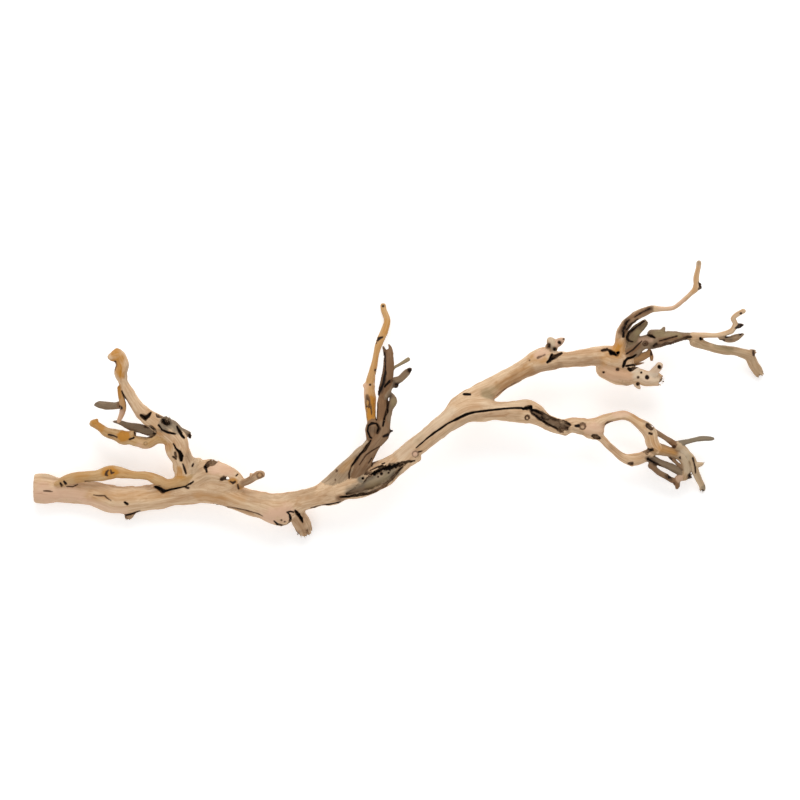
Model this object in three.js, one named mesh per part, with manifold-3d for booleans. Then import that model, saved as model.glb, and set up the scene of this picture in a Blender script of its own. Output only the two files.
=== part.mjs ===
// Fallen tree branch: one grown piece of bleached hardwood vine, lying on a surface.
// Millimetres, +Z up. X runs along the branch from its sawn end (-X) to its twig ends (+X).
// The branch is split at its forks, so each limb is its own solid. Every limb is a swept tube
// through knots [x, y, z, radius]; the parent's limb is cut out of the child's root.
import * as THREE from 'three';
import { mergeVertices } from 'three/addons/utils/BufferGeometryUtils.js';
import Module from 'manifold-3d';

// ---- Driving dimensions ----
const SEAM_GAP = 0.35; // open seam left between a limb and the limb it grew from
const HEAVY = 10; // facets round the trunk
const STOUT = 8; // facets round a main limb
const SLIM = 6; // facets round a twig
const FINE = 5; // facets round a splinter or a thorn
const OVAL = 0.05; // how far a section is out of round, as a share of its radius
const DOME_REACH = 0.45; // how far a closed end bulges, as a share of its radius
const DOME_RING = 0.72; // radius of the ring half-way up a closed end, as a share
const FLOOR_BLOCK = 1400; // side of the block that flattens what touches the surface

// ---- Colours ----
const BLEACHED = '#dcc3a6';
const AMBER = '#b98a4c';
const WEATHERED = '#8d7c6b';
const BROWN = '#a5805a';

// ---- Trunk ----
const TRUNK_LOG = [
  [-456, -113, 16, 14], [-451, -113, 16, 18.5], [-438, -114, 15, 18], [-414, -116, 13, 16],
  [-382, -120, 14, 16], [-352, -128, 17, 17.5], [-319, -125, 18, 16], [-281, -119, 23, 15.5],
  [-249, -113, 28, 18.5], [-223, -117, 30, 17], [-196, -127, 31, 15], [-170, -134, 32, 16.5],
  [-150, -138, 32, 19], [-130, -130, 34, 14], [-108, -124, 38, 12.5], [-84, -117, 41, 14.5],
];
const TRUNK_SHARD = [[-334, -136, 18, 9], [-338, -146, 15, 6], [-340, -151, 13, 3]];
const TRUNK_KNUCKLE = [[-158, -142, 32, 14], [-148, -148, 33, 11.5], [-144, -150, 35, 8]];

// ---- Bow twig: leaves the trunk near its sawn end and grows back into it ----
const BOW_TWIG = [
  [-425, -108, 31, 4], [-415, -103, 33, 6.5], [-398, -99, 34, 7], [-380, -98, 34, 6.5],
  [-362, -94, 34, 8], [-350, -93, 34, 7], [-332, -96, 34, 5], [-312, -98, 35, 5.5],
  [-300, -103, 36, 6.5], [-288, -107, 38, 5.5], [-274, -104, 41, 6], [-260, -98, 43, 7],
];

// ---- Left limb, with the twigs along it ----
const LEFT_STEM = [
  [-256, -106, 31, 15], [-264, -92, 36, 15], [-269, -78, 41, 13.5], [-275, -64, 46, 14.5],
  [-277, -52, 50, 14.5], [-288, -41, 52, 13.5], [-302, -31, 55, 11.5], [-315, -22, 58, 10],
  [-325, -12, 62, 8.5], [-332, 0, 66, 7.5], [-338, 10, 70, 7.5], [-342, 20, 74, 6.5],
  [-345, 30, 78, 8.5], [-342, 40, 82, 8], [-346, 50, 86, 8], [-348, 54, 88, 6],
];
const LEFT_TIP_CURL = [[-350, 51, 88, 6.5], [-354, 50, 89, 5.5]];
const LEFT_STRIP = [
  [-346, 12, 72, 3], [-344, 0, 70, 3.5], [-342, -10, 66, 4], [-344, -20, 60, 3.5], [-348, -29, 55, 2.5],
];
const LEFT_RIDGE = [
  [-298, -34, 57, 6], [-284, -34, 55, 7], [-272, -42, 52, 5.5], [-262, -45, 49, 3.5],
  [-260, -49, 47, 2.5],
];
const LEFT_CREST = [[-291, -33, 58, 8], [-289, -29, 63, 5.5], [-287, -26, 66, 3.5]];
const LEFT_THORN = [[-258, -86, 43, 9], [-251, -80, 45, 6], [-249, -77, 46, 3]];
const YELLOW_TWIG = [
  [-290, -48, 50, 10], [-302, -51, 50, 7], [-313, -57, 47, 7], [-325, -55, 44, 6.5],
  [-335, -52, 42, 6.5], [-344, -49, 41, 8], [-354, -46, 38, 7], [-364, -43, 34, 5.5],
  [-373, -37, 31, 4.5], [-382, -32, 29, 4.5],
];
const YELLOW_KNOT = [[-336, -48, 43, 7], [-331, -45, 44, 4]];
const YELLOW_TIP = [[-379, -31, 30, 3.5], [-377, -28, 30, 2]];
const LEFT_GREY_STUB = [
  [-345, -9, 58, 5], [-353, -10, 51, 4.5], [-364, -10, 43, 5], [-373, -9, 37, 4.5], [-378, -9, 34, 2.5],
];
const LEFT_BACK_TWIG = [
  [-301, -41, 46, 7], [-313, -41, 42, 6.5], [-325, -38, 38, 5.5], [-338, -35, 34, 4.5],
  [-348, -31, 31, 3.5], [-356, -30, 28, 1.5],
];

// ---- Burl at the foot of the left limb, and its spur ----
const BURL_BACK = [
  [-248, -100, 36, 15], [-234, -93, 42, 14.5], [-220, -95, 44, 13], [-208, -98, 45, 10.5],
  [-200, -103, 45, 7], [-198, -109, 44, 4.5],
];
const BURL_BELLY = [[-232, -108, 40, 11], [-216, -110, 42, 9], [-205, -106, 45, 6]];
const BURL_SPUR = [
  [-199, -107, 46, 4.5], [-189, -104, 52, 4.5], [-181, -99, 60, 4.5], [-175, -96, 68, 5.5],
  [-172, -95, 71, 5],
];
const BURL_THORN = [[-182, -98, 60, 4], [-184, -95, 62, 2]];

// ---- Broken stub on the trunk's near side: it reaches down to the surface ----
const LOWER_STUB = [[-134, -132, 32, 12], [-128, -146, 24, 11], [-122, -157, 14, 11], [-119, -166, 9, 10]];

// ---- Main limb: carries on from the trunk to the upper fork ----
const MAIN_LIMB = [
  [-88, -118, 40, 14], [-68, -112, 43, 15.5], [-50, -107, 46, 17.5], [-34, -101, 49, 18],
  [-18, -92, 52, 16.5], [-4, -82, 54, 13], [10, -69, 56, 12], [26, -56, 58, 12],
  [46, -39, 60, 12], [66, -25, 60, 13.5], [84, -15, 59, 14], [104, -13, 58, 12],
];
const MAIN_FLAP = [[-38, -88, 54, 8], [-29, -84, 56, 5], [-20, -80, 57, 2.5]];
const MAIN_HEEL = [[-2, -84, 52, 10], [12, -78, 54, 7.5], [22, -76, 54, 4]];

// ---- Middle limb and the twigs it ends in ----
const MIDDLE_RIND = [
  [-84, -110, 42, 13], [-72, -95, 50, 11], [-58, -79, 56, 8], [-47, -66, 60, 6.5], [-38, -54, 62, 4.5],
];
const MIDDLE_CORE = [
  [-58, -100, 48, 10], [-50, -86, 56, 10.5], [-40, -71, 62, 9.5], [-31, -58, 66, 8.5],
  [-22, -46, 67, 8.5], [-21, -34, 67, 8],
];
const MIDDLE_KNOT = [[-36, -48, 64, 6], [-35, -39, 65, 8], [-34, -33, 65, 7]];
const MIDDLE_THORN = [[-19, -46, 66, 5], [-13, -42, 67, 2.5], [-9, -41, 68, 1]];
const AMBER_TWIG = [
  [-34, -34, 64, 6], [-36, -20, 61, 6], [-37, -5, 57, 7.5], [-38, 10, 52, 7], [-36, 25, 46, 5],
  [-32, 40, 38, 4], [-29, 56, 30, 3.5], [-25, 70, 24, 4.5], [-19, 83, 17, 4.5], [-16, 97, 10, 4],
  [-20, 109, 5, 3.5], [-21, 115, 3, 3.5],
];
const AMBER_THORN = [[-37, 15, 50, 5], [-43, 15, 50, 3], [-45, 15, 50, 1.5]];
const BROWN_TWIG = [
  [-22, -38, 66, 6.5], [-22, -20, 68, 6.5], [-21, -4, 71, 6.5], [-18, 12, 76, 5.5],
  [-14, 28, 82, 5.5], [-13, 44, 87, 5.5], [-13, 56, 90, 4],
];
const BROWN_FIN = [
  [-26, 4, 72, 2], [-22, 16, 77, 3], [-18, 32, 81, 3.5], [-17, 48, 86, 3], [-19, 58, 90, 2], [-21, 63, 92, 1],
];
const BROWN_TINE = [[-11, 54, 89, 3], [-12, 61, 91, 2], [-14, 65, 92, 1]];
const BROWN_WISP = [[-12, 28, 82, 3], [-8, 36, 82, 2], [0, 41, 83, 2], [10, 47, 85, 2.5]];
const SIDE_TWIG = [
  [-17, -44, 64, 5], [-15, -28, 66, 4], [-13, -14, 68, 4.5], [-9, -5, 71, 5.5], [-10, 3, 75, 2.5],
];
const HOOKED_TWIG = [
  [-18, 4, 73, 6], [-14, 14, 72, 6], [-7, 20, 72, 5.5], [0, 23, 74, 4.5], [7, 30, 77, 4.5], [12, 34, 80, 3.5],
];
const HOOKED_THORN = [[-5, 18, 72, 4.5], [-5, 14, 71, 2.5]];

// ---- Upper limb: from the upper fork to the cluster of twigs ----
const UPPER_LIMB = [
  [70, -14, 55, 11], [84, -4, 51, 12], [98, 4, 48, 12], [112, 10, 48, 12.5], [128, 21, 49, 11],
  [146, 31, 51, 10.5], [164, 41, 53, 12], [180, 45, 54, 12.5], [200, 46, 54, 10], [225, 49, 53, 10],
  [246, 51, 52, 12], [262, 49, 50, 15], [276, 46, 48, 15],
];
const UPPER_SHOULDER = [[70, -8, 50, 8], [77, -2, 50, 6.5], [82, 4, 50, 4]];
const UPPER_BOSS = [[168, 47, 55, 10], [176, 53, 56, 8.5], [181, 57, 57, 4.5]];
const UPPER_KNOB = [[188, 54, 55, 4.5], [190, 60, 58, 4.5], [188, 66, 61, 6], [186, 70, 63, 4.5]];
const UPPER_KNOB_EAR = [[190, 65, 61, 4.5], [197, 69, 63, 4.5], [202, 72, 65, 2]];
const UPPER_KNOB_LOBE = [[190, 63, 60, 5], [183, 63, 61, 4]];
const CROOK_TWIG = [
  [270, 54, 52, 10], [273, 68, 57, 7], [275, 82, 63, 6.5], [281, 92, 69, 6.5], [289, 99, 76, 6],
  [300, 105, 83, 5.5], [310, 109, 88, 4.5], [321, 109, 92, 3], [335, 110, 96, 3], [345, 117, 99, 3],
  [356, 127, 102, 3], [363, 135, 104, 4], [363, 148, 108, 3.5], [365, 158, 111, 3], [366, 165, 113, 3],
];
const CROOK_KNOT = [[363, 135, 104, 4], [368, 135, 105, 2.5], [368, 140, 106, 1.5]];
const CHARRED_STUB = [
  [286, 66, 52, 7], [287, 75, 55, 7.5], [293, 84, 60, 6.5], [302, 92, 65, 5], [304, 94, 66, 3.5],
];
const BLADE_LIMB = [
  [282, 58, 51, 11], [298, 67, 52, 9], [314, 71, 52, 10.5], [330, 73, 50, 9], [346, 75, 46, 6],
  [360, 76, 43, 5], [370, 73, 41, 6],
];
const BLADE_SHOULDER = [[312, 78, 54, 6], [320, 79, 53, 5]];
const BLADE_LIP = [[324, 80, 52, 4], [327, 86, 52, 2]];
const SPLIT_STRIP = [[276, 44, 48, 7], [288, 46, 50, 5], [300, 51, 50, 4.5], [309, 55, 49, 3.5]];
const SPLIT_DRIP = [[309, 57, 49, 3.5], [312, 51, 47, 2.5], [312, 47, 46, 2]];
const SPLIT_SLIVER = [[284, 42, 46, 3.5], [295, 42, 45, 2], [302, 43, 44, 1]];
const SPUR_BODY = [
  [256, 36, 46, 12], [268, 31, 46, 13], [282, 28, 45, 11], [296, 27, 44, 9], [308, 24, 43, 9],
  [318, 23, 42, 8.5], [324, 21, 41, 6],
];
const SPUR_CHIN = [[276, 24, 44, 7], [281, 18, 43, 3.5]];
const SPUR_BROW = [[288, 33, 48, 6], [294, 35, 49, 3.5]];
const SPUR_DRIP = [[294, 22, 42, 4], [294, 16, 41, 3.5], [297, 12, 40, 2]];
const SPUR_HORN = [[312, 28, 46, 5.5], [316, 33, 52, 5], [320, 38, 58, 4.5], [321, 40, 60, 4]];
const END_TWIG = [
  [366, 70, 42, 7], [378, 65, 40, 6], [394, 60, 35, 5.5], [411, 58, 30, 5.5], [427, 55, 24, 5.5],
  [436, 51, 18, 6.5], [441, 41, 11, 6.5], [447, 33, 6, 6.5], [450, 30, 5, 6],
];
const END_THORN = [[438, 56, 19, 4.5], [442, 57, 18, 3]];
const THIN_TWIG = [
  [364, 76, 44, 5.5], [378, 77, 45, 3.5], [392, 77, 46, 3], [404, 80, 48, 3.5], [412, 84, 52, 3.5],
  [415, 92, 56, 3], [412, 98, 60, 3], [417, 103, 63, 3], [424, 107, 66, 3],
];
const THIN_THORN = [[415, 88, 54, 3], [421, 89, 55, 3], [424, 90, 55, 1.5]];
const THIN_RAG = [[398, 74, 46, 3.5], [408, 72, 45, 4], [418, 75, 44, 3.5], [426, 79, 44, 1.5]];

// ---- Lower limb, its ring and the split lattice at its end ----
const LOWER_LIMB = [
  [98, -17, 57, 12], [120, -17, 58, 11.5], [142, -17, 58, 13], [158, -17, 58, 14], [170, -22, 56, 12],
  [184, -30, 54, 9.5], [200, -36, 51, 9.5], [215, -35, 48, 9.5], [230, -37, 45, 10.5], [243, -39, 42, 10],
];
const LOWER_HEEL = [[200, -38, 50, 8], [205, -42, 49, 5]];
const RING_UPPER = [
  [240, -34, 43, 8.5], [254, -27, 45, 6.5], [268, -23, 46, 5.5], [279, -22, 46, 6], [291, -28, 45, 6],
  [303, -36, 43, 7.5], [310, -45, 41, 8], [313, -56, 39, 8], [318, -64, 37, 7],
];
const RING_LOWER = [
  [238, -43, 42, 8], [250, -50, 40, 5], [262, -62, 38, 4.5], [275, -73, 36, 5], [288, -77, 35, 7],
  [300, -75, 35, 7], [309, -70, 35, 6.5],
];
const RING_THORN = [[286, -80, 36, 4.5], [288, -84, 36, 2]];
const LATTICE_SPINE = [
  [316, -62, 37, 7], [330, -66, 33, 6.5], [343, -69, 30, 6.5], [353, -76, 27, 6.5], [357, -88, 24, 6],
  [354, -98, 21, 5.5],
];
const LATTICE_SLAT = [
  [306, -73, 35, 5], [318, -79, 31, 4.5], [332, -84, 27, 4.5], [346, -91, 23, 4.5], [354, -97, 21, 4],
];
const LATTICE_STRAP = [[316, -42, 41, 3.5], [328, -49, 38, 3], [340, -57, 34, 4], [347, -65, 31, 4]];
const LATTICE_FIBRE = [[336, -74, 31, 3], [345, -82, 28, 2], [354, -89, 26, 2]];
const LATTICE_LOW = [
  [312, -84, 32, 4], [322, -93, 28, 3.5], [334, -100, 24, 4], [345, -107, 20, 4], [345, -112, 19, 2.5],
];
const LATTICE_BRACE = [[354, -97, 21, 5], [346, -101, 20, 4.5], [344, -107, 19, 3.5]];
const LATTICE_THORN = [[356, -97, 22, 4], [362, -98, 22, 3.5]];
const TIP_TWIG = [
  [346, -60, 32, 5.5], [355, -67, 29, 5], [363, -77, 26, 5], [368, -91, 20, 4.5], [373, -102, 12, 4],
  [378, -111, 5, 4], [378, -116, 3, 3.5],
];
const TIP_FAN = [[368, -84, 25, 4], [374, -83, 25, 3], [378, -81, 25, 1.5]];
const RIGHT_GREY_TWIG = [
  [348, -57, 33, 3.5], [360, -54, 34, 3], [374, -51, 35, 3], [384, -51, 36, 3], [390, -51, 37, 2],
];

// ---- Hollows worn into the wood, and the hole through the burl ----
const LEFT_POCKET = [[-319, -23, 70, 3.5], [-314, -25, 69, 4], [-309, -20, 69, 2.5]];
const LEFT_EYE = [[-277, -62, 61, 2], [-273, -71, 58, 5], [-272, -77, 54, 3]];
const BURL_MOUTH = [[-241, -85, 57, 3], [-234, -82, 57, 4], [-227, -79, 56, 3]];
const BURL_EYE = [[-214, -100, -5, 3], [-214, -100, 90, 3]];
const STUB_SLOT = [[-131, -141, 40, 2], [-126, -148, 34, 3], [-121, -155, 26, 2]];
const MAIN_LENS = [
  [-64, -118, 62, 3], [-44, -110, 66, 7], [-24, -99, 70, 9], [-8, -88, 70, 8], [4, -80, 67, 3],
];
const UPPER_NOTCH = [[183, 46, 66, 3], [189, 50, 66, 4], [199, 54, 64, 2]];
const LOWER_TROUGH = [[160, -13, 70, 4], [174, -22, 66, 5.5], [190, -31, 63, 5.5], [206, -37, 60, 4]];

const limb = (knots, facets) => ({ knots, facets });

// A node's limbs are joined into one solid; its hollows are then worn out of it.
const NODES = [
  {
    name: 'trunk', colour: BLEACHED, sawn: true,
    limbs: [limb(TRUNK_LOG, HEAVY), limb(TRUNK_SHARD, FINE), limb(TRUNK_KNUCKLE, SLIM)],
  },
  { name: 'bow_twig', colour: AMBER, limbs: [limb(BOW_TWIG, SLIM)] },
  {
    name: 'left_limb', colour: BLEACHED,
    limbs: [
      limb(LEFT_STEM, STOUT), limb(LEFT_TIP_CURL, SLIM), limb(LEFT_STRIP, FINE),
      limb(LEFT_RIDGE, FINE), limb(LEFT_CREST, FINE), limb(LEFT_THORN, FINE),
    ],
    hollows: [limb(LEFT_POCKET, FINE), limb(LEFT_EYE, FINE)],
  },
  {
    name: 'yellow_twig', colour: AMBER,
    limbs: [limb(YELLOW_TWIG, SLIM), limb(YELLOW_KNOT, FINE), limb(YELLOW_TIP, FINE)],
  },
  { name: 'left_grey_stub', colour: WEATHERED, limbs: [limb(LEFT_GREY_STUB, SLIM)] },
  { name: 'left_back_twig', colour: BROWN, limbs: [limb(LEFT_BACK_TWIG, SLIM)] },
  {
    name: 'burl', colour: BLEACHED,
    limbs: [limb(BURL_BACK, STOUT), limb(BURL_BELLY, SLIM), limb(BURL_SPUR, SLIM), limb(BURL_THORN, FINE)],
    hollows: [limb(BURL_MOUTH, FINE), limb(BURL_EYE, FINE)],
  },
  {
    name: 'lower_stub', colour: BLEACHED,
    limbs: [limb(LOWER_STUB, STOUT)],
    hollows: [limb(STUB_SLOT, FINE)],
  },
  {
    name: 'main_limb', colour: BLEACHED,
    limbs: [limb(MAIN_LIMB, HEAVY), limb(MAIN_FLAP, FINE), limb(MAIN_HEEL, SLIM)],
    hollows: [limb(MAIN_LENS, SLIM)],
  },
  {
    name: 'middle_limb', colour: BROWN,
    limbs: [
      limb(MIDDLE_RIND, STOUT), limb(MIDDLE_CORE, STOUT), limb(MIDDLE_KNOT, SLIM),
      limb(MIDDLE_THORN, FINE),
    ],
  },
  { name: 'amber_twig', colour: AMBER, limbs: [limb(AMBER_TWIG, SLIM), limb(AMBER_THORN, FINE)] },
  {
    name: 'brown_twig', colour: BROWN,
    limbs: [
      limb(BROWN_TWIG, SLIM), limb(BROWN_FIN, FINE), limb(BROWN_TINE, FINE), limb(BROWN_WISP, FINE),
    ],
  },
  { name: 'side_twig', colour: WEATHERED, limbs: [limb(SIDE_TWIG, SLIM)] },
  {
    name: 'hooked_twig', colour: BROWN,
    limbs: [limb(HOOKED_TWIG, SLIM), limb(HOOKED_THORN, FINE)],
  },
  {
    name: 'upper_limb', colour: BLEACHED,
    limbs: [
      limb(UPPER_LIMB, STOUT), limb(UPPER_SHOULDER, SLIM), limb(UPPER_BOSS, SLIM),
      limb(UPPER_KNOB, SLIM), limb(UPPER_KNOB_EAR, FINE), limb(UPPER_KNOB_LOBE, FINE),
    ],
    hollows: [limb(UPPER_NOTCH, FINE)],
  },
  { name: 'crook_twig', colour: BLEACHED, limbs: [limb(CROOK_TWIG, SLIM), limb(CROOK_KNOT, FINE)] },
  { name: 'charred_stub', colour: WEATHERED, limbs: [limb(CHARRED_STUB, SLIM)] },
  {
    name: 'blade_limb', colour: WEATHERED,
    limbs: [limb(BLADE_LIMB, SLIM), limb(BLADE_SHOULDER, FINE), limb(BLADE_LIP, FINE)],
  },
  {
    name: 'split_strips', colour: WEATHERED,
    limbs: [limb(SPLIT_STRIP, FINE), limb(SPLIT_DRIP, FINE), limb(SPLIT_SLIVER, FINE)],
  },
  {
    name: 'knobby_spur', colour: BLEACHED,
    limbs: [
      limb(SPUR_BODY, STOUT), limb(SPUR_CHIN, FINE), limb(SPUR_BROW, FINE),
      limb(SPUR_DRIP, FINE), limb(SPUR_HORN, FINE),
    ],
  },
  { name: 'end_twig', colour: BLEACHED, limbs: [limb(END_TWIG, SLIM), limb(END_THORN, FINE)] },
  {
    name: 'thin_twig', colour: BLEACHED,
    limbs: [limb(THIN_TWIG, FINE), limb(THIN_THORN, FINE), limb(THIN_RAG, FINE)],
  },
  {
    name: 'lower_limb', colour: BLEACHED,
    limbs: [limb(LOWER_LIMB, STOUT), limb(LOWER_HEEL, FINE)],
    hollows: [limb(LOWER_TROUGH, FINE)],
  },
  { name: 'ring_upper_arm', colour: BLEACHED, limbs: [limb(RING_UPPER, SLIM)] },
  { name: 'ring_lower_arm', colour: BLEACHED, limbs: [limb(RING_LOWER, SLIM), limb(RING_THORN, FINE)] },
  {
    name: 'end_lattice', colour: WEATHERED,
    limbs: [
      limb(LATTICE_SPINE, SLIM), limb(LATTICE_SLAT, FINE), limb(LATTICE_STRAP, FINE),
      limb(LATTICE_FIBRE, FINE), limb(LATTICE_LOW, FINE), limb(LATTICE_BRACE, FINE),
      limb(LATTICE_THORN, FINE),
    ],
  },
  { name: 'tip_twig', colour: BLEACHED, limbs: [limb(TIP_TWIG, FINE), limb(TIP_FAN, FINE)] },
  { name: 'right_grey_twig', colour: WEATHERED, limbs: [limb(RIGHT_GREY_TWIG, FINE)] },
];

const wasm = await Module();
wasm.setup();

// Unit direction of the route at each point, averaged over the two stretches that meet there.
function headings(points) {
  const last = points.length - 1;
  return points.map((point, i) => {
    const ahead = points[Math.min(i + 1, last)].clone().sub(point).normalize();
    const behind = point.clone().sub(points[Math.max(i - 1, 0)]).normalize();
    return ahead.add(behind).normalize();
  });
}

// A side vector at each point, carried along the route without twisting.
function sideVectors(directions) {
  const up = new THREE.Vector3(0, 0, 1);
  let side = new THREE.Vector3().crossVectors(directions[0], up);
  if (side.length() < 0.1) side.set(1, 0, 0);
  return directions.map((direction) => {
    side = side.clone().addScaledVector(direction, -side.dot(direction)).normalize();
    return side;
  });
}

// One ring of points round a centre, slightly oval.
function ringPoints(centre, direction, side, radius, facets) {
  const across = new THREE.Vector3().crossVectors(direction, side);
  return Array.from({ length: facets }, (_, i) => {
    const angle = (2 * Math.PI * i) / facets;
    const reach = radius * (1 + OVAL * Math.cos(2 * angle));
    return centre
      .clone()
      .addScaledVector(side, Math.cos(angle) * reach)
      .addScaledVector(across, Math.sin(angle) * reach);
  });
}

// The rings and the two end points of a limb's tube, grown outwards all over by `grow`.
// A sawn start is flat, and a splinter's ends come straight to a point; other ends are domed.
function tubeRings(knots, facets, grow, sawn) {
  const centres = knots.map(([x, y, z]) => new THREE.Vector3(x, y, z));
  const directions = headings(centres);
  const sides = sideVectors(directions);
  const radii = knots.map((knot) => knot[3] + grow / Math.cos(Math.PI / facets));
  const rings = centres.map((c, i) => ringPoints(c, directions[i], sides[i], radii[i], facets));
  const last = centres.length - 1;
  const closeEnd = (i, sign, flat) => {
    const reach = flat ? grow : radii[i] * DOME_REACH;
    const middle = centres[i].clone().addScaledVector(directions[i], sign * reach * 0.75);
    const tip = centres[i].clone().addScaledVector(directions[i], sign * reach);
    const ring = ringPoints(middle, directions[i], sides[i], radii[i] * DOME_RING, facets);
    return { tip, rings: flat || facets === FINE ? [] : [ring] };
  };
  const start = closeEnd(0, -1, sawn);
  const end = closeEnd(last, 1, false);
  return { rings: [...start.rings, ...rings, ...end.rings], first: start.tip, final: end.tip };
}

// A closed tube as a BufferGeometry.
function tubeGeometry({ knots, facets }, grow = 0, sawn = false) {
  const { rings, first, final } = tubeRings(knots, facets, grow, sawn);
  const points = [...rings.flat(), first, final];
  const firstIndex = rings.length * facets;
  const finalIndex = firstIndex + 1;
  const index = [];
  for (let j = 0; j < facets; j += 1) {
    const next = (j + 1) % facets;
    index.push(firstIndex, next, j);
    for (let i = 0; i + 1 < rings.length; i += 1) {
      const a = i * facets + j;
      const b = i * facets + next;
      index.push(a, b, b + facets, a, b + facets, a + facets);
    }
    const top = (rings.length - 1) * facets;
    index.push(finalIndex, top + j, top + next);
  }
  return new THREE.BufferGeometry().setFromPoints(points).setIndex(index);
}

function solidOf(geometry) {
  return new wasm.Manifold(
    new wasm.Mesh({
      numProp: 3,
      vertProperties: new Float32Array(geometry.getAttribute('position').array),
      triVerts: new Uint32Array(geometry.index.array),
    }),
  );
}

function geometryOf(solid) {
  const { vertProperties, triVerts } = solid.getMesh();
  const geometry = new THREE.BufferGeometry();
  geometry.setAttribute('position', new THREE.BufferAttribute(new Float32Array(vertProperties), 3));
  geometry.setIndex(new THREE.BufferAttribute(new Uint32Array(triVerts), 1));
  return geometry;
}

const joined = (solids) => solids.reduce((all, solid) => all.add(solid));

// A block whose top face is the surface the branch lies on.
function floorBlock() {
  const box = new THREE.BoxGeometry(FLOOR_BLOCK, FLOOR_BLOCK, FLOOR_BLOCK);
  box.deleteAttribute('normal');
  box.deleteAttribute('uv');
  return solidOf(mergeVertices(box.translate(0, 0, -FLOOR_BLOCK / 2)));
}

// The seam's cut can leave a loose flake beside a limb; the limb itself is kept.
function largestBody(solid) {
  return solid.decompose().reduce((a, b) => (b.volume() > a.volume() ? b : a));
}

function tubes(limbs, grow, sawn) {
  return joined(limbs.map((each, i) => solidOf(tubeGeometry(each, grow, sawn && i === 0))));
}

const group = new THREE.Group();
let standing = floorBlock(); // what a new limb must keep clear of, grown by the seam's gap

for (const { name, colour, limbs, hollows, sawn = false } of NODES) {
  let solid = tubes(limbs, 0, sawn).subtract(standing);
  if (hollows) solid = solid.subtract(tubes(hollows, 0, false));
  standing = standing.add(tubes(limbs, SEAM_GAP, sawn));
  const material = new THREE.MeshStandardMaterial({ color: colour, roughness: 0.7 });
  const mesh = new THREE.Mesh(geometryOf(largestBody(solid)), material);
  mesh.name = name;
  group.add(mesh);
}

export default group;
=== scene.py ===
"""Builds a fallen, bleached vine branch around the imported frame, dresses it and lights it."""

import logging
import math
from dataclasses import dataclass
from enum import Enum
from typing import Iterable

import bpy
import numpy as np
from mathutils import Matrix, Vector

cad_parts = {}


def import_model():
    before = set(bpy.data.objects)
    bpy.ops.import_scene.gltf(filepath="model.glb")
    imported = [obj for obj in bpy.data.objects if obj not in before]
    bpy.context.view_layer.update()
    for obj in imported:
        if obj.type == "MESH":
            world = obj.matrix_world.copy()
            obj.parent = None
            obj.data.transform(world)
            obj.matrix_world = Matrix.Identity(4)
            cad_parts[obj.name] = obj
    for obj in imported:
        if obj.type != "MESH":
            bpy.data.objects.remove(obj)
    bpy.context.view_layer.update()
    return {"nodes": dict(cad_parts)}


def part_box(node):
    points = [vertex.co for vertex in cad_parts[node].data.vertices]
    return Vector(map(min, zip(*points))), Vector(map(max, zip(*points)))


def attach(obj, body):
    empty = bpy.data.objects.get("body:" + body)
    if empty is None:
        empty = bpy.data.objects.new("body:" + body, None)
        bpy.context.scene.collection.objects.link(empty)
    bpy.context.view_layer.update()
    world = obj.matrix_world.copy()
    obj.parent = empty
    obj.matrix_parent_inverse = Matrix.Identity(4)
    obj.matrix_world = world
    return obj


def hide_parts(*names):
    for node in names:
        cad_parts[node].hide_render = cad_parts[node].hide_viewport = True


log = logging.getLogger("branch")

MM = 0.001  # a millimetre, in metres
FAR = 99.0  # millimetres: farther than anything that matters at a point
BEYOND = 999.0  # millimetres: longer than the branch
Knot = tuple[float, float, float, float]
Array = np.ndarray


class End(Enum):
    """How a limb's end is closed."""

    ROUND = "round"
    SNAPPED = "snapped"
    SAWN = "sawn"


class Side(Enum):
    """The side of a limb that a mark lies on, as the direction it faces."""

    TOP = (0.0, 0.0, 1.0)
    NEAR = (0.0, -1.0, 0.0)
    FAR = (0.0, 1.0, 0.0)
    THROUGH = (0.0, 0.0, 0.0)


class Tone(Enum):
    """The tints laid on the wood, each an index into a vertex's tint values; most are the wood's own
    colour, but some one-sided washes use them as painted light and shade.
    """

    AMBER = 0
    GREY = 1
    BROWN = 2
    CHAR = 3
    OLIVE = 4
    ROSE = 5
    PALE = 6
    SCORCH = 7


@dataclass(frozen=True)
class Limb:
    """One swept limb.

    Args:
        knots: Points of its route as (x, y, z, radius) in millimetres.
        blend: How widely it flows into what it grows from, in millimetres.
        lobes: How strongly its section is lobed, as a share of its radius.
        flat: How much thinner it is upwards than across, as a share of its radius.
        start: How its first end is closed.
        end: How its last end is closed.
        tones: The tints it has all over, as (tint, strength) pairs.
    """

    knots: tuple[Knot, ...]
    blend: float = 4.0
    lobes: float = 0.06
    flat: float = 0.0
    start: End = End.ROUND
    end: End = End.ROUND
    tones: tuple[tuple[Tone, float], ...] = ()


@dataclass(frozen=True)
class Mark:
    """A hollow, crack, pit or hole worn into one side of the wood.

    Args:
        path: Its course in the plane it faces, as (first, second, half width) in millimetres.
        depth: How deep it goes, in millimetres.
        side: The side it lies on.
        lip: How high the wood swells round it, in millimetres.
        stain: How dark it is inside, from 0 to 1: its dark stains, with painted shade deepening inside.
        fade: How far the stain runs past its rim, in millimetres.
        ragged: How uneven its rim is, as a share of its half width.
    """

    path: tuple[tuple[float, float, float], ...]
    depth: float = 3.0
    side: Side = Side.TOP
    lip: float = 0.0
    stain: float = 1.0
    fade: float = 0.7
    ragged: float = 0.2


@dataclass(frozen=True)
class Wash:
    """A soft patch of one tint over the wood.

    Args:
        tone: The tint.
        path: Its course as (x, y, z, radius) in millimetres.
        strength: How strong it is at its middle.
        soft: How much of its radius it fades over, from 0 to 1.
    """

    tone: Tone
    path: tuple[Knot, ...]
    strength: float = 1.0
    soft: float = 0.6


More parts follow.
